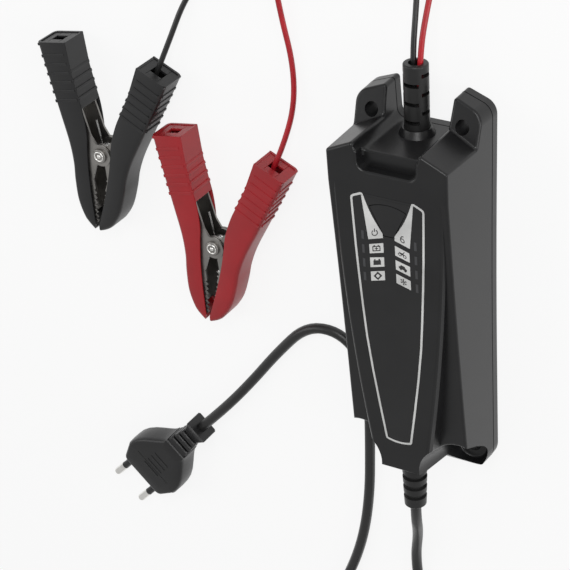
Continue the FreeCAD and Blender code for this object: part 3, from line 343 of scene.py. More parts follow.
def cordCurve(name, spec):
    points = [Vector(p) for p in spec["out"]]
    points += coilTurns(points[-1], spec["diameter"], spec["coil"])
    points += [Vector(p) for p in spec["back"]]
    curve = bpy.data.curves.new(name, "CURVE")
    curve.dimensions = "3D"
    curve.bevel_depth = spec["diameter"] / 2 * mm
    curve.bevel_resolution = cordParts["round"]
    curve.use_fill_caps = True
    curve.resolution_u = cordParts["along"]
    spline = curve.splines.new("NURBS")
    spline.points.add(len(points) - 1)
    for item, spot in zip(spline.points, points):
        item.co = (*(spot * mm), 1)
    spline.order_u = 3
    spline.use_endpoint_u = True
    curve.materials.append(finish[spec["material"]])
    return newObject(name, curve)


cordObjects = {name: cordCurve(f"{name}_cord_line", spec) for name, spec in cords.items()}
for name, spec in cords.items():
    cord = cordObjects[name]
    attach(cord, "charger")
    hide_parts(*spec["nodes"])
print("cords:", len(cordObjects))


# Fascia prints: a black skin, a white frame line, two pale wings, six tiles with dark signs and the light marks

fascia = {
    "frontZ": 45.6, "frontY": 78.0, "slope": 0.030, "skinLow": 0.01, "skin": 0.05, "ink": 0.11, "signInk": 0.15,
    "inkGap": 0.005, "frameWidth": 1.0, "keyGap": 0.35,
    "frame": [(11.9, 58.0), (12.1, 58.75), (12.7, 58.9), (16.3, 57.25), (17.0, 56.6), (17.2, 55.6), (16.9, 47.0),
              (16.35, 32.0), (15.6, 18.0), (14.6, 2.0), (13.4, -14.0), (11.4, -31.0), (9.0, -48.0), (6.2, -66.6),
              (5.9, -67.2), (5.3, -67.5), (2.6, -68.1), (0.0, -68.3)],
    "wing": [(12.4, 58.4), (11.6, 51.0), (10.9, 45.0), (10.0, 36.9), (2.8, 39.2), (2.9, 41.3), (5.0, 44.5),
             (7.4, 48.5), (9.2, 52.3), (10.6, 55.9), (11.4, 58.4)],
    "tileX": (2.8, 9.7),
    "tileRows": [(34.5, 36.7, 29.9, 31.9), (27.8, 29.6, 22.9, 24.9), (20.7, 22.7, 16.0, 18.0)],
    "key": {"lowHalf": 2.3, "lowY": 40.5, "topHalf": 8.6, "topY": 55.5, "arcRise": 2.0, "arcParts": 12},
    "signLean": 0.30, "signSize": 0.92, "power": (-6.7, 40.9), "six": (6.6, 40.6),
    "marks": {"x": 12.7, "top": 38.6, "pitch": 7.0, "count": 4, "size": (1.2, 4.2, 0.06), "lift": 0.035},
}


def onFascia(x, y, lift=0.0):
    return Vector((x, y, fascia["frontZ"] + (y - fascia["frontY"]) * fascia["slope"] + lift)) * mm


def stroke(points, width, closed=False, sharpest=0.5):
    # quads along a line, mitred at each bend
    count = len(points)
    sides = []
    for i, (x, y) in enumerate(points):
        before = points[(i - 1) % count] if closed or i else points[i]
        after = points[(i + 1) % count] if closed or i < count - 1 else points[i]
        along = [Vector((x - before[0], y - before[1])), Vector((after[0] - x, after[1] - y))]
        along = [a.normalized() for a in along if a.length > 1e-9]
        middle = sum(along, Vector((0, 0))).normalized()
        normal = Vector((-middle.y, middle.x))
        reach = width / 2 / max(sharpest, middle.dot(along[0]))
        sides.append(((x + normal.x * reach, y + normal.y * reach), (x - normal.x * reach, y - normal.y * reach)))
    pairs = list(zip(sides, sides[1:] + sides[:1])) if closed else list(zip(sides, sides[1:]))
    return [[a[0], a[1], b[1], b[0]] for a, b in pairs]


def ring(x, y, rx, ry, start=0, end=360, count=20):
    # points round an ellipse, or along the part of it between two angles
    last = count if end - start < 360 else count - 1
    angles = [math.radians(start + (end - start) * i / count) for i in range(last + 1)]
    return [(x + rx * math.cos(a), y + ry * math.sin(a)) for a in angles]


def flipped(polygon):
    return [(-x, y) for x, y in reversed(polygon)]


def inkLayer(name, polygons, material, low, high):
    # thin closed slabs that follow the sloped face
    bm = bmesh.new()
    for polygon in polygons:
        area = sum(a[0] * b[1] - b[0] * a[1] for a, b in zip(polygon, polygon[1:] + polygon[:1]))
        outline = polygon if area > 0 else polygon[::-1]
        top = [bm.verts.new(onFascia(x, y, high)) for x, y in outline]
        base = [bm.verts.new(onFascia(x, y, low)) for x, y in outline]
        bm.faces.new(top)
        bm.faces.new(base[::-1])
        band(bm, base, top)
    bmesh.ops.triangulate(bm, faces=[f for f in bm.faces if len(f.verts) > 4])
    return bmeshObject(name, bm, material)


def keyOutline(gap):
    key = fascia["key"]
    half, low, top = key["topHalf"] + gap, key["lowY"] - gap, key["topY"] + gap
    radius = (half * half + key["arcRise"] ** 2) / (2 * key["arcRise"])
    reach = math.degrees(math.asin(half / radius))
    arc = ring(0, top - radius, radius, radius, 90 - reach, 90 + reach, key["arcParts"])
    return [(-key["lowHalf"] - gap, low), (key["lowHalf"] + gap, low)] + arc


frameLine = fascia["frame"] + flipped(fascia["frame"][:-1])


def fasciaSkin():
    # the printed black skin inside the frame line, open over the key
    bm = bmesh.new()
    low, high = fascia["skinLow"], fascia["skin"]
    edges = []
    for outline in (frameLine, keyOutline(fascia["keyGap"])):
        verts = [bm.verts.new(onFascia(x, y, high)) for x, y in outline]
        edges += [bm.edges.new((verts[i], verts[(i + 1) % len(verts)])) for i in range(len(verts))]
    bmesh.ops.triangle_fill(bm, use_beauty=True, use_dissolve=False, edges=edges)
    bmesh.ops.recalc_face_normals(bm, faces=bm.faces)
    for face in bm.faces:
        if face.normal.z < 0:
            face.normal_flip()
    made = bmesh.ops.extrude_face_region(bm, geom=list(bm.faces))
    moved = [v for v in made["geom"] if isinstance(v, bmesh.types.BMVert)]
    bmesh.ops.translate(bm, verts=moved, vec=Vector((0, 0, (low - high) * mm)))
    bmesh.ops.recalc_face_normals(bm, faces=bm.faces)
    return bmeshObject("fascia_skin", bm, finish["fasciaBlack"])


def signShapes():
    # generic signs round (0, 0), about 4 mm wide, each a list of polygons
    def box(x0, y0, x1, y1):
        return [(x0, y0), (x1, y0), (x1, y1), (x0, y1)]

    def spoke(angle):
        a = math.radians(angle)
        along = Vector((math.cos(a), math.sin(a)))
        shapes = stroke([tuple(along * 0.15), tuple(along * 1.75)], 0.34)
        for turn in (-38, 38):
            b = math.radians(angle + turn)
            start = along * 0.95
            shapes += stroke([tuple(start), (start.x + 0.62 * math.cos(b), start.y + 0.62 * math.sin(b))], 0.26)
        return shapes

    power = stroke(ring(0, 0, 1.35, 1.35, 122, 418, 22), 0.42) + stroke([(0, 0.5), (0, 2.1)], 0.42)
    six = stroke(ring(0, -0.5, 0.85, 0.9, count=18), 0.4, True)
    six += stroke([(-0.85, -0.4), (-0.72, 0.6), (-0.2, 1.45), (0.6, 1.75)], 0.4)
    charger = stroke(box(-1.9, -1.3, 1.9, 1.0), 0.5, True)
    charger += [box(-1.5, 1.0, -0.7, 1.75), box(0.7, 1.0, 1.5, 1.75)]
    charger += stroke([(-1.0, -0.15), (1.0, -0.15)], 0.45) + stroke([(0, -0.9), (0, 0.6)], 0.45)
    battery = [box(-2.0, -1.5, 2.0, 1.0), box(-1.6, 1.0, -0.8, 1.7), box(0.8, 1.0, 1.6, 1.7)]
    diamond = stroke([(0, -1.75), (1.75, 0), (0, 1.75), (-1.75, 0)], 0.85, True)
    bike = []
    for wheelX in (-1.25, 1.25):
        bike += stroke(ring(wheelX, -0.65, 0.72, 0.72, count=16), 0.36, True)
    bike.append([(-1.2, -0.4), (0.9, -0.4), (0.55, 0.75), (-0.6, 0.45), (-1.5, 0.75)])
    bike += stroke([(0.5, 0.6), (0.9, 1.5), (1.4, 1.5)], 0.3)
    car = [[(-2.1, -0.9), (2.1, -0.9), (2.1, 0.15), (1.45, 0.3), (0.9, 1.25), (-0.95, 1.25), (-1.5, 0.3), (-2.1, 0.15)]]
    car += [ring(wheelX, -1.0, 0.55, 0.55, count=14) for wheelX in (-1.15, 1.15)]
    frost = [shape for angle in range(30, 390, 60) for shape in spoke(angle)]
    return {"power": power, "six": six, "left": [charger, battery, diamond], "right": [bike, car, frost]}


def placedSign(polygons, x, y, side, size=1.0):
    # leans with its tile, whose outer edge lies lower
    lean = -fascia["signLean"] * side
    return [[(x + px * size, y + (py + px * lean) * size) for px, py in polygon] for polygon in polygons]


def fasciaPrints():
    white = stroke(frameLine, fascia["frameWidth"])
    white += [fascia["wing"], flipped(fascia["wing"])]
    x0, x1 = fascia["tileX"]
    for outerTop, innerTop, outerLow, innerLow in fascia["tileRows"]:
        tile = [(x0, innerLow), (x1, outerLow), (x1, outerTop), (x0, innerTop)]
        white += [tile, flipped(tile)]
    gap = fascia["inkGap"]
    ink = inkLayer("fascia_print", white, finish["printWhite"], fascia["skin"] + gap, fascia["ink"])
    signs = signShapes()
    dark = placedSign(signs["power"], *fascia["power"], -1) + placedSign(signs["six"], *fascia["six"], 1)
    for side, group in ((-1, signs["left"]), (1, signs["right"])):
        for row, shapes in zip(fascia["tileRows"], group):
            dark += placedSign(shapes, side * (x0 + x1) / 2, sum(row) / 4, side, fascia["signSize"])
    signInk = inkLayer("fascia_signs", dark, finish["printBlack"], fascia["ink"] + gap, fascia["signInk"])
    return [fasciaSkin(), ink, signInk]


# Geometry Nodes: a row of equal bars, used for the light marks and the grip lines

def barRowTree():
    tree = bpy.data.node_groups.new("barRow", "GeometryNodeTree")
    face = tree.interface
    sockets = {}
    kinds = {"Count": "Int", "Start": "Vector", "Step": "Vector", "Size": "Vector", "Turn": "Vector",
             "Finish": "Material"}
    for label, kind in kinds.items():
        sockets[label] = face.new_socket(label, in_out="INPUT", socket_type=f"NodeSocket{kind}")
    face.new_socket("Geometry", in_out="OUTPUT", socket_type="NodeSocketGeometry")
    link = tree.links.new
    inputs = tree.nodes.new("NodeGroupInput")
    line = tree.nodes.new("GeometryNodeMeshLine")
    line.mode = "OFFSET"
    bar = tree.nodes.new("GeometryNodeMeshCube")
    place = tree.nodes.new("GeometryNodeInstanceOnPoints")
    real = tree.nodes.new("GeometryNodeRealizeInstances")
    dress = tree.nodes.new("GeometryNodeSetMaterial")
    out = tree.nodes.new("NodeGroupOutput")
    link(inputs.outputs["Count"], line.inputs["Count"])
    link(inputs.outputs["Start"], line.inputs["Start Location"])
    link(inputs.outputs["Step"], line.inputs["Offset"])
    link(inputs.outputs["Size"], bar.inputs["Size"])
    link(line.outputs["Mesh"], place.inputs["Points"])
    link(bar.outputs["Mesh"], place.inputs["Instance"])
    link(inputs.outputs["Turn"], place.inputs["Rotation"])
    link(place.outputs["Instances"], real.inputs["Geometry"])
    link(real.outputs["Geometry"], dress.inputs["Geometry"])
    link(inputs.outputs["Finish"], dress.inputs["Material"])
    link(dress.outputs["Geometry"], out.inputs[0])
    return tree, {label: socket.identifier for label, socket in sockets.items()}


barTree, barSockets = barRowTree()


def barRow(name, count, start, step, size, turn, material, soften=0.0):
    # start, step and size in millimetres, turn in radians
    obj = newObject(name, bpy.data.meshes.new(name))
    row = obj.modifiers.new("row", "NODES")
    row.node_group = barTree
    row[barSockets["Count"]] = count
    row[barSockets["Start"]] = point(*start)
    row[barSockets["Step"]] = point(*step)
    row[barSockets["Size"]] = point(*size)
    row[barSockets["Turn"]] = turn
    row[barSockets["Finish"]] = material
    if soften:
        bevel = obj.modifiers.new("soften", "BEVEL")
        bevel.width = soften * mm
        bevel.segments = 2
    return plain(obj)


def lightMarks():
    spec, slope = fascia["marks"], fascia["slope"]
    rows = []
    for side, name in ((-1, "left"), (1, "right")):
        x, y = side * spec["x"], spec["top"]
        z = onFascia(x, y, fascia["skin"] + spec["lift"]).z / mm
        rows.append(barRow(f"light_marks_{name}", spec["count"], (x, y, z), (0, -spec["pitch"], -spec["pitch"] * slope),
                           spec["size"], (math.atan(slope), 0, 0), finish["smokedGuide"]))
    return rows


for piece in fasciaPrints():
    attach(piece, "charger")
for piece in lightMarks():
    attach(piece, "charger")
print("fascia prints placed")


# Plug: flattened body, wide at the pins, with a stepped side, a crowned face and a segmented square neck

plug = {
    "place": (-158.0, -147.0, 6.85), "turn": 226.0, "halfThick": 6.85, "belly": 0.15, "crease": 32,
    "plan": [(17.3, 0.0), (17.3, 11.2), (16.6, 13.0), (15.2, 14.2), (8.6, 16.9), (7.9, 17.0), (7.7, 17.3),
             (7.0, 17.6), (3.5, 17.4), (0.0, 16.5), (-4.0, 14.6), (-8.0, 12.0), (-11.0, 9.9), (-13.6, 8.2),
             (-15.6, 7.2), (-17.4, 6.6)],
    "rim": [(6.85, 1.9), (6.65, 1.2), (6.2, 0.6), (5.4, 0.2), (4.4, 0.0)],
    "crown": {"share": 0.72, "shift": -0.4, "rise": 0.35},
    "neck": [(-16.6, -20.4, 6.3, 5.7, 6.0, 5.4), (-21.6, -24.4, 5.7, 5.2, 5.4, 4.9),
             (-25.6, -28.2, 5.2, 4.8, 4.9, 4.6), (-29.4, -36.2, 4.8, 4.5, 6.4, 6.2)],
    "core": (-14.0, -33.0, 3.7, 3.4, 3.7, 3.4), "blockEdge": 0.5, "blockSoft": 0.8,
    "lines": {"count": 4, "pitch": 3.4, "start": -4.0, "lift": 0.3, "size": (0.9, 10.5, 0.7), "soften": 0.2},
}


def plugMatrix():
    return Matrix.Translation(point(*plug["place"])) @ Matrix.Rotation(math.radians(plug["turn"]), 4, "Z")


def plugBodyMesh():
    # the plan's outline at each height of the rounded rim, then a low crown over each face
    right = plug["plan"]
    plan = right + [(x, -y) for x, y in reversed(right) if y > 0]
    count = len(plan)
    normals = []
    for i in range(count):
        before, after = plan[i - 1], plan[(i + 1) % count]
        along = Vector((after[0] - before[0], after[1] - before[1])).normalized()
        normals.append(Vector((along.y, -along.x)))
    layers = plug["rim"] + [(0.0, -plug["belly"])] + [(-z, inset) for z, inset in reversed(plug["rim"])]
    bm = bmesh.new()
    rings = []
    for z, inset in layers:
        rings.append([bm.verts.new(point(x - n.x * inset, y - n.y * inset, z)) for (x, y), n in zip(plan, normals)])
    for upper, lower in zip(rings, rings[1:]):
        band(bm, upper, lower)
    crown = plug["crown"]
    for loop, rise in ((rings[0], crown["rise"]), (rings[-1], 0.0)):
        lift = point(crown["shift"], 0, rise)
        middle = [bm.verts.new(Vector((v.co.x * crown["share"], v.co.y * crown["share"], v.co.z)) + lift) for v in loop]
        band(bm, loop, middle)
        bm.faces.new(middle)
    return bm


def plugBlock(bm, x0, x1, y0, z0, y1, z1):
    # a block from x0 back to x1 whose square section grows or shrinks, with cut corners
    edge, soft = plug["blockEdge"], plug["blockSoft"]

    def section(x, halfY, halfZ):
        corners = [(halfY - soft, halfZ), (halfY, halfZ - soft), (halfY, -halfZ + soft), (halfY - soft, -halfZ),
                   (-halfY + soft, -halfZ), (-halfY, -halfZ + soft), (-halfY, halfZ - soft), (-halfY + soft, halfZ)]
        return [bm.verts.new(point(x, y, z)) for y, z in corners]

    cuts = [section(x0, y0 - edge, z0 - edge), section(x0 - edge, y0, z0), section(x1 + edge, y1, z1),
            section(x1, y1 - edge, z1 - edge)]
    for a, b in zip(cuts, cuts[1:]):
        band(bm, a, b)
    bm.faces.new(cuts[0])
    bm.faces.new(cuts[-1])


def plugPiece():
    bm = plugBodyMesh()
    for size in plug["neck"] + [plug["core"]]:
        plugBlock(bm, *size)
    bmesh.ops.recalc_face_normals(bm, faces=bm.faces)
    bmesh.ops.transform(bm, matrix=plugMatrix(), verts=bm.verts)
    body = bmeshObject("plug_shape", bm, finish["plugBlack"])
    smoothByAngle(body, plug["crease"])
    return body


def plugLines():
    spec = plug["lines"]
    start = plugMatrix() @ point(spec["start"], 0, plug["halfThick"] + spec["lift"])
    step = plugMatrix().to_3x3() @ point(spec["pitch"], 0, 0)
    return barRow("plug_lines", spec["count"], start / mm, step / mm, spec["size"],
                  (0, 0, math.radians(plug["turn"])), finish["plugBlack"], spec["soften"])


plugBody = plugPiece()
plugGrip = plugLines()
for piece in (plugBody, plugGrip):
    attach(piece, "charger")
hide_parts("plug_body")
print("plug made")


# Parting line: a matte near-black strip along the groove where the moulded shell meets the back cover, painted shade
# standing in for the shadow inside the groove

parting = {"low": 4.98, "high": 5.45, "proud": 0.04, "thick": 0.08, "steep": 0.5}


def partingLine():
    shell = nodes["front_shell"]
    bm = bmesh.new()
    bm.from_mesh(shell.data)
    bm.transform(shell.matrix_world)
    for height, above in ((parting["high"], True), (parting["low"], False)):
        bmesh.ops.bisect_plane(bm, geom=bm.verts[:] + bm.edges[:] + bm.faces[:], plane_co=(0, 0, height * mm),
                               plane_no=(0, 0, 1), clear_outer=above, clear_inner=not above)
    flat = [face for face in bm.faces if abs(face.normal.z) > parting["steep"]]
    bmesh.ops.delete(bm, geom=flat, context="FACES")
    bmesh.ops.remove_doubles(bm, verts=bm.verts, dist=1e-6)
    # only the wall that holds the outermost point is the outside
    outside, queue = set(), [max(bm.verts, key=lambda vert: vert.co.x)]
    while queue:
        vert = queue.pop()
        if vert not in outside:
            outside.add(vert)
            queue += [edge.other_vert(vert) for edge in vert.link_edges]
    bmesh.ops.delete(bm, geom=[vert for vert in bm.verts if vert not in outside], context="VERTS")
    bm.normal_update()
    for vert in bm.verts:
        vert.co += vert.normal * parting["proud"] * mm
    bmesh.ops.solidify(bm, geom=bm.faces[:], thickness=parting["thick"] * mm)
    line = weldedObject("case_parting_shade", bm, finish["grooveShadeBlack"])
    smoothByAngle(line)
    return line


seam = partingLine()
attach(seam, "charger")
print("parting line made")


# Clips: smooth covers, closed inner walls, slotted handle ends, grip ridges and the rivet's ring

clips = {
    "black": {"place": (-172.0, 28.0, 7.5), "cover": "coverBlack", "slot": "cover_black"},
    "red": {"place": (-112.0, -8.0, 7.5), "cover": "coverRed", "slot": "cover_red"},
    "turn": -8.0, "halfAngle": 21.0,
    "cover": {
        "outer": [(1.6, -41.6), (4.6, -40.2), (8.2, -36.6), (12.0, -28.5), (14.0, -18.0), (15.0, -9.0), (17.6, 1.5),
                  (22.8, 15.5), (27.9, 29.0), (32.5, 41.2), (35.5, 49.5)],
        "inner": [(1.0, -38.2), (2.9, -28.0), (4.4, -19.0), (5.8, -8.0), (6.5, 2.0), (6.9, 10.0), (9.2, 20.5),
                  (12.5, 29.5), (15.8, 39.0), (17.9, 46.8), (19.6, 54.4)],
        "half": 7.5, "round": 2.4, "roundShare": 0.45, "roundParts": 5, "wall": 1.2, "stations": 60, "crease": 38,
        "lip": [(0.0, 0.5), (0.15, 0.15), (0.5, 0.0)],
    },
    "lining": {
        "wall": [(19.6, 54.3), (15.6, 38.5), (9.9, 22.4), (11.1, 22.0), (16.8, 38.2), (20.9, 53.9)],
        "half": 7.4, "endMiddle": (27.4, 51.6), "endTurn": -17.35, "endReach": 8.0, "endThick": 1.3,
        "slotHalf": (3.3, 2.3), "soften": 0.25,
    },
    "ridges": {
        "front": {"start": (18.298, 24.388, 7.55), "step": (1.575, 4.25), "size": (13.2, 1.5, 0.4), "soften": 0.14},
        "inner": {"start": (11.9, 27.3, 0.0), "step": (1.53, 4.25), "size": (1.5, 1.5, 14.8), "soften": 0.3},
        "outer": {"start": (25.1, 21.9, 0.0), "step": (1.575, 4.25), "size": (1.3, 1.5, 11.2), "soften": 0.3},
    },
    "ridgeCount": 6,
    "ring": {"radius": 2.3, "thick": 0.42, "dome": 1.05, "domeFlat": 0.5, "z": 7.2, "sunk": 0.1, "parts": 28,
             "rollParts": 8, "domeParts": (18, 10)},
}


def clipMatrix(colour, side):
    turn = Matrix.Rotation(math.radians(clips["turn"]), 4, "Z")
    return Matrix.Translation(point(*clips[colour]["place"])) @ turn @ Matrix.Diagonal((side, 1, 1, 1))


def addPrism(bm, outline, z0, z1):
    low = [bm.verts.new(point(x, y, z0)) for x, y in outline]
    high = [bm.verts.new(point(x, y, z1)) for x, y in outline]
    bm.faces.new(low[::-1])
    bm.faces.new(high)
    band(bm, low, high)


def smoothLine(points, count, parts=16):
    # a curve through the points, sampled evenly along its length
    ends = [2 * Vector(points[0]) - Vector(points[1]), 2 * Vector(points[-1]) - Vector(points[-2])]
    knots = [ends[0]] + [Vector(p) for p in points] + [ends[1]]
    fine = []
    for a, b, c, d in zip(knots, knots[1:], knots[2:], knots[3:]):
        for i in range(parts):
            t = i / parts
            fine.append(0.5 * ((2 * b) + (c - a) * t + (2 * a - 5 * b + 4 * c - d) * t * t
                               + (3 * b - a - 3 * c + d) * t * t * t))
    fine.append(knots[-2])
    lengths = [0.0]
    for a, b in zip(fine, fine[1:]):
        lengths.append(lengths[-1] + (b - a).length)
    samples, k = [], 0
    for i in range(count):
        goal = lengths[-1] * i / (count - 1)
        while k < len(fine) - 2 and lengths[k + 1] < goal:
            k += 1
        share = (goal - lengths[k]) / max(1e-9, lengths[k + 1] - lengths[k])
        samples.append(fine[k].lerp(fine[k + 1], min(1.0, share)))
    return samples


def softCover(colour, half, side):
    # one smooth moulded channel from the jaw's tip to the handle's end, then given its wall
    spec = clips["cover"]
    outer, inner = (smoothLine(spec[key], spec["stations"]) for key in ("outer", "inner"))
    high, parts = spec["half"], spec["roundParts"]
    bm = bmesh.new()
    rows = []
    for o, n in zip(outer, inner):
        across = (o - n).normalized()
        soft = min(spec["round"], spec["roundShare"] * (o - n).length)
        profile = [(n + across * out, high - down) for out, down in spec["lip"]]
        for i in range(parts + 1):
            a = math.pi / 2 * i / parts
            profile.append((o - across * (soft - soft * math.sin(a)), high - soft + soft * math.cos(a)))
        profile += [(spot, -z) for spot, z in reversed(profile)]
        rows.append([bm.verts.new(Vector((spot.x, spot.y, z)) * mm) for spot, z in profile])
    for a, b in zip(rows, rows[1:]):
        for i in range(len(a) - 1):
            bm.faces.new((a[i], a[i + 1], b[i + 1], b[i]))
    bmesh.ops.transform(bm, matrix=clipMatrix(colour, side), verts=bm.verts)
    bmesh.ops.recalc_face_normals(bm, faces=bm.faces)
    top = max(bm.faces, key=lambda f: f.calc_center_median().z)
    if top.normal.z < 0:
        bmesh.ops.reverse_faces(bm, faces=bm.faces)
    cover = bmeshObject(f"{colour}_{half}_sleeve", bm, finish[clips[colour]["cover"]])
    wall = cover.modifiers.new("wall", "SOLIDIFY")
    wall.thickness, wall.offset = spec["wall"] * mm, -1
    plain(cover)
    smoothByAngle(cover, spec["crease"])
    return cover


def handleLining(colour, half, side):
    # closes the channel's inner side and its end, but for the slot where a lead can go in
    spec = clips["lining"]
    bm = bmesh.new()
    deep = spec["half"]
    addPrism(bm, spec["wall"], -deep, deep)
    turn = math.radians(spec["endTurn"])
    along, inward = Vector((math.cos(turn), math.sin(turn))), Vector((math.sin(turn), -math.cos(turn)))
    middle, thick = Vector(spec["endMiddle"]), inward * spec["endThick"]

    def strip(u0, u1, z0, z1):
        near, far = middle + along * u0, middle + along * u1
        addPrism(bm, [tuple(c) for c in (near, far, far + thick, near + thick)], z0, z1)

    slotU, slotZ = spec["slotHalf"]
    strip(-spec["endReach"], -slotU, -deep, deep)
    strip(slotU, spec["endReach"], -deep, deep)
    strip(-slotU, slotU, slotZ, deep)
    strip(-slotU, slotU, -deep, -slotZ)
    bmesh.ops.transform(bm, matrix=clipMatrix(colour, side), verts=bm.verts)
    bmesh.ops.recalc_face_normals(bm, faces=bm.faces)
    piece = bmeshObject(f"{colour}_{half}_lining", bm, finish[clips[colour]["cover"]])
    soft = piece.modifiers.new("soften", "BEVEL")
    soft.width, soft.segments, soft.limit_method = spec["soften"] * mm, 2, "ANGLE"
    return plain(piece)


def gripRidges(colour, half, side):
    place = clipMatrix(colour, side)
    lean = math.radians(clips["turn"] - side * clips["halfAngle"])
    rows = []
    for name, spec in clips["ridges"].items():
        start = place @ point(*spec["start"])
        step = place.to_3x3() @ point(*spec["step"], 0)
        rows.append(barRow(f"{colour}_{half}_{name}_ridges", clips["ridgeCount"], start / mm, step / mm, spec["size"],
                           (0, 0, lean), finish[clips[colour]["cover"]], spec["soften"]))
    return rows


def rivetRing(colour):
    # a rolled ring and a low dome on the rivet's head
    spec = clips["ring"]
    bm = bmesh.new()
    steps = spec["parts"]
    profile = ring(spec["radius"], spec["z"], spec["thick"], spec["thick"], count=spec["rollParts"])
    loops = []
    for i in range(steps):
        a = 2 * math.pi * i / steps
        loops.append([bm.verts.new(point(r * math.cos(a), r * math.sin(a), z)) for r, z in profile])
    for a, b in zip(loops, loops[1:] + loops[:1]):
        band(bm, a, b)
    seat = Matrix.Translation(point(0, 0, spec["z"] - spec["sunk"])) @ Matrix.Diagonal((1, 1, spec["domeFlat"], 1))
    around, up = spec["domeParts"]
    bmesh.ops.create_uvsphere(bm, u_segments=around, v_segments=up, radius=spec["dome"] * mm, matrix=seat)
    bmesh.ops.transform(bm, matrix=clipMatrix(colour, 1), verts=bm.verts)
    return weldedObject(f"{colour}_rivet_ring", bm, finish["pinNickel"])


clipExtras = {"black": [], "red": []}
for colour, extras in clipExtras.items():
    for half, side, body in (("lead", 1, "charger"), ("free", -1, f"{colour}_free_half")):
        sleeve = softCover(colour, half, side)
        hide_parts(f"{colour}_{half}_cover")
        for piece in [sleeve, handleLining(colour, half, side)] + gripRidges(colour, half, side):
            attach(piece, body)
            extras.append(piece)
    ringPiece = rivetRing(colour)
    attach(ringPiece, "charger")
    extras.append(ringPiece)
print("clips dressed")


# Stage, lights and camera

studio = {"floorHalf": 3.0, "floorDrop": 0.2, "floorGrey": 0.9, "floorWhite": 0.86, "fill": 0.30, "mirrored": 0.45}
lamps = {
    "keyBox": {"place": (0.35, 0.75, 0.9), "target": (0, 0, 0), "size": (0.8, 0.5), "power": 7.0},
    "sideBox": {"place": (1.1, 0.1, 0.30), "target": (0, 0, 0.02), "size": (0.4, 0.9), "power": 4.6},
    "leftBox": {"place": (-1.0, 0.2, 0.8), "target": (-0.1, 0, 0), "size": (0.5, 0.9), "power": 2.6},
}


def paleFloor():
    # white to the camera and in reflections, grey enough under the object to keep its shadow
    material, tree, shader = nodeMaterial("floorPale", (studio["floorGrey"],) * 3, 0.6)
    link = tree.links.new
    white = addNode(tree, "ShaderNodeEmission", Strength=1.0)
    rays = addNode(tree, "ShaderNodeLightPath")
    seen = addNode(tree, "ShaderNodeMath", operation="MAXIMUM")
    link(rays.outputs["Is Camera Ray"], seen.inputs[0])
    link(rays.outputs["Is Glossy Ray"], seen.inputs[1])
    share = addNode(tree, "ShaderNodeMath", operation="MULTIPLY")
    link(seen.outputs[0], share.inputs[0])
    share.inputs[1].default_value = studio["floorWhite"]
    mix = addNode(tree, "ShaderNodeMixShader")
    link(share.outputs[0], mix.inputs["Fac"])
    link(shader.outputs[0], mix.inputs[1])
    link(white.outputs[0], mix.inputs[2])
    output = tree.nodes["Material Output"]
    link(mix.outputs[0], output.inputs["Surface"])
    half = studio["floorHalf"]
    bm = bmesh.new()
    bm.faces.new([bm.verts.new((x * half, y * half, 0)) for x, y in ((-1, -1), (1, -1), (1, 1), (-1, 1))])
    floor = bmeshObject("floor", bm, material)
    floor.location.z = -studio["floorDrop"] * mm


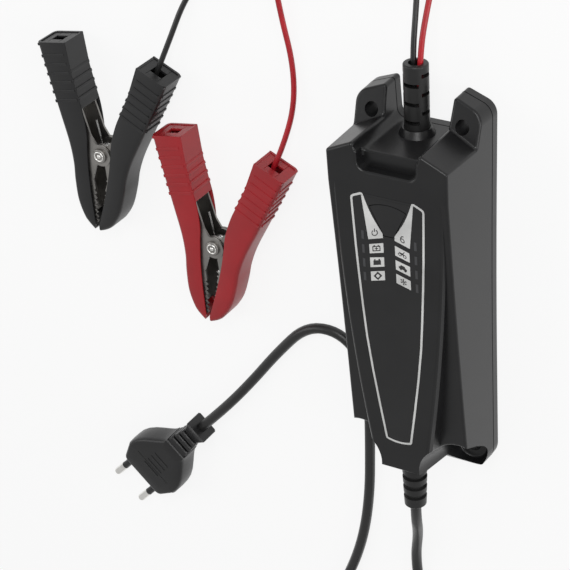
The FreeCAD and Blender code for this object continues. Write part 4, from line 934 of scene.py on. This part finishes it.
def paleWorld():
    # a plain grey fill that shows white to the camera and paler in reflections
    world = bpy.data.worlds.new("studio")
    scene.world = world
    world.use_nodes = True
    tree = world.node_tree
    tree.nodes.clear()
    link = tree.links.new
    rays = addNode(tree, "ShaderNodeLightPath")
    fill = addNode(tree, "ShaderNodeBackground", Strength=studio["fill"])
    fill.inputs["Color"].default_value = (1, 1, 1, 1)
    white = addNode(tree, "ShaderNodeBackground", Strength=1.0)
    white.inputs["Color"].default_value = (1, 1, 1, 1)
    mirrored = addNode(tree, "ShaderNodeMath", operation="MULTIPLY")
    link(rays.outputs["Is Glossy Ray"], mirrored.inputs[0])
    mirrored.inputs[1].default_value = studio["mirrored"]
    seen = addNode(tree, "ShaderNodeMath", operation="MAXIMUM")
    link(rays.outputs["Is Camera Ray"], seen.inputs[0])
    link(mirrored.outputs[0], seen.inputs[1])
    mix = addNode(tree, "ShaderNodeMixShader")
    output = addNode(tree, "ShaderNodeOutputWorld")
    link(seen.outputs[0], mix.inputs["Fac"])
    link(fill.outputs[0], mix.inputs[1])
    link(white.outputs[0], mix.inputs[2])
    link(mix.outputs[0], output.inputs["Surface"])


def softBox(name, spec):
    light = bpy.data.lights.new(name, "AREA")
    light.shape = "RECTANGLE"
    light.size, light.size_y = spec["size"]
    light.energy = spec["power"]
    obj = bpy.data.objects.new(name, light)
    scene.collection.objects.link(obj)
    obj.location = spec["place"]
    away = Vector(spec["place"]) - Vector(spec["target"])
    obj.rotation_euler = away.to_track_quat("Z", "Y").to_euler()


camera = {"azimuth": 28.0, "elevation": 30.9, "roll": -1.5, "distance": 0.890, "focalPixels": 2000.0,
          "target": (0.0, -0.5, 20.0), "targetPixel": (417.2, 292.6), "frame": 570.0, "sensor": 36.0,
          "clip": (0.01, 30.0)}


def photoCamera():
    spec = camera
    a, e, roll = (math.radians(spec[k]) for k in ("azimuth", "elevation", "roll"))
    back = Vector((math.sin(a) * math.cos(e), math.sin(e), math.cos(a) * math.cos(e)))
    right = Vector((math.cos(a), 0, -math.sin(a)))
    up = back.cross(right)
    rightRolled = right * math.cos(roll) + up * math.sin(roll)
    upRolled = up * math.cos(roll) - right * math.sin(roll)
    data = bpy.data.cameras.new("photoCamera")
    obj = bpy.data.objects.new("photoCamera", data)
    scene.collection.objects.link(obj)
    turn = Matrix((rightRolled, upRolled, back)).transposed().to_4x4()
    obj.matrix_world = Matrix.Translation(point(*spec["target"]) + back * spec["distance"]) @ turn
    data.sensor_width = spec["sensor"]
    data.lens = spec["focalPixels"] / spec["frame"] * spec["sensor"]
    half = spec["frame"] / 2
    data.shift_x = -(spec["targetPixel"][0] - half) / spec["frame"]
    data.shift_y = (spec["targetPixel"][1] - half) / spec["frame"]
    data.clip_start, data.clip_end = spec["clip"]
    scene.camera = obj


paleFloor()
paleWorld()
for name, spec in lamps.items():
    softBox(name, spec)
photoCamera()
scene.view_settings.view_transform = "Standard"
print("stage, lights and camera ready")
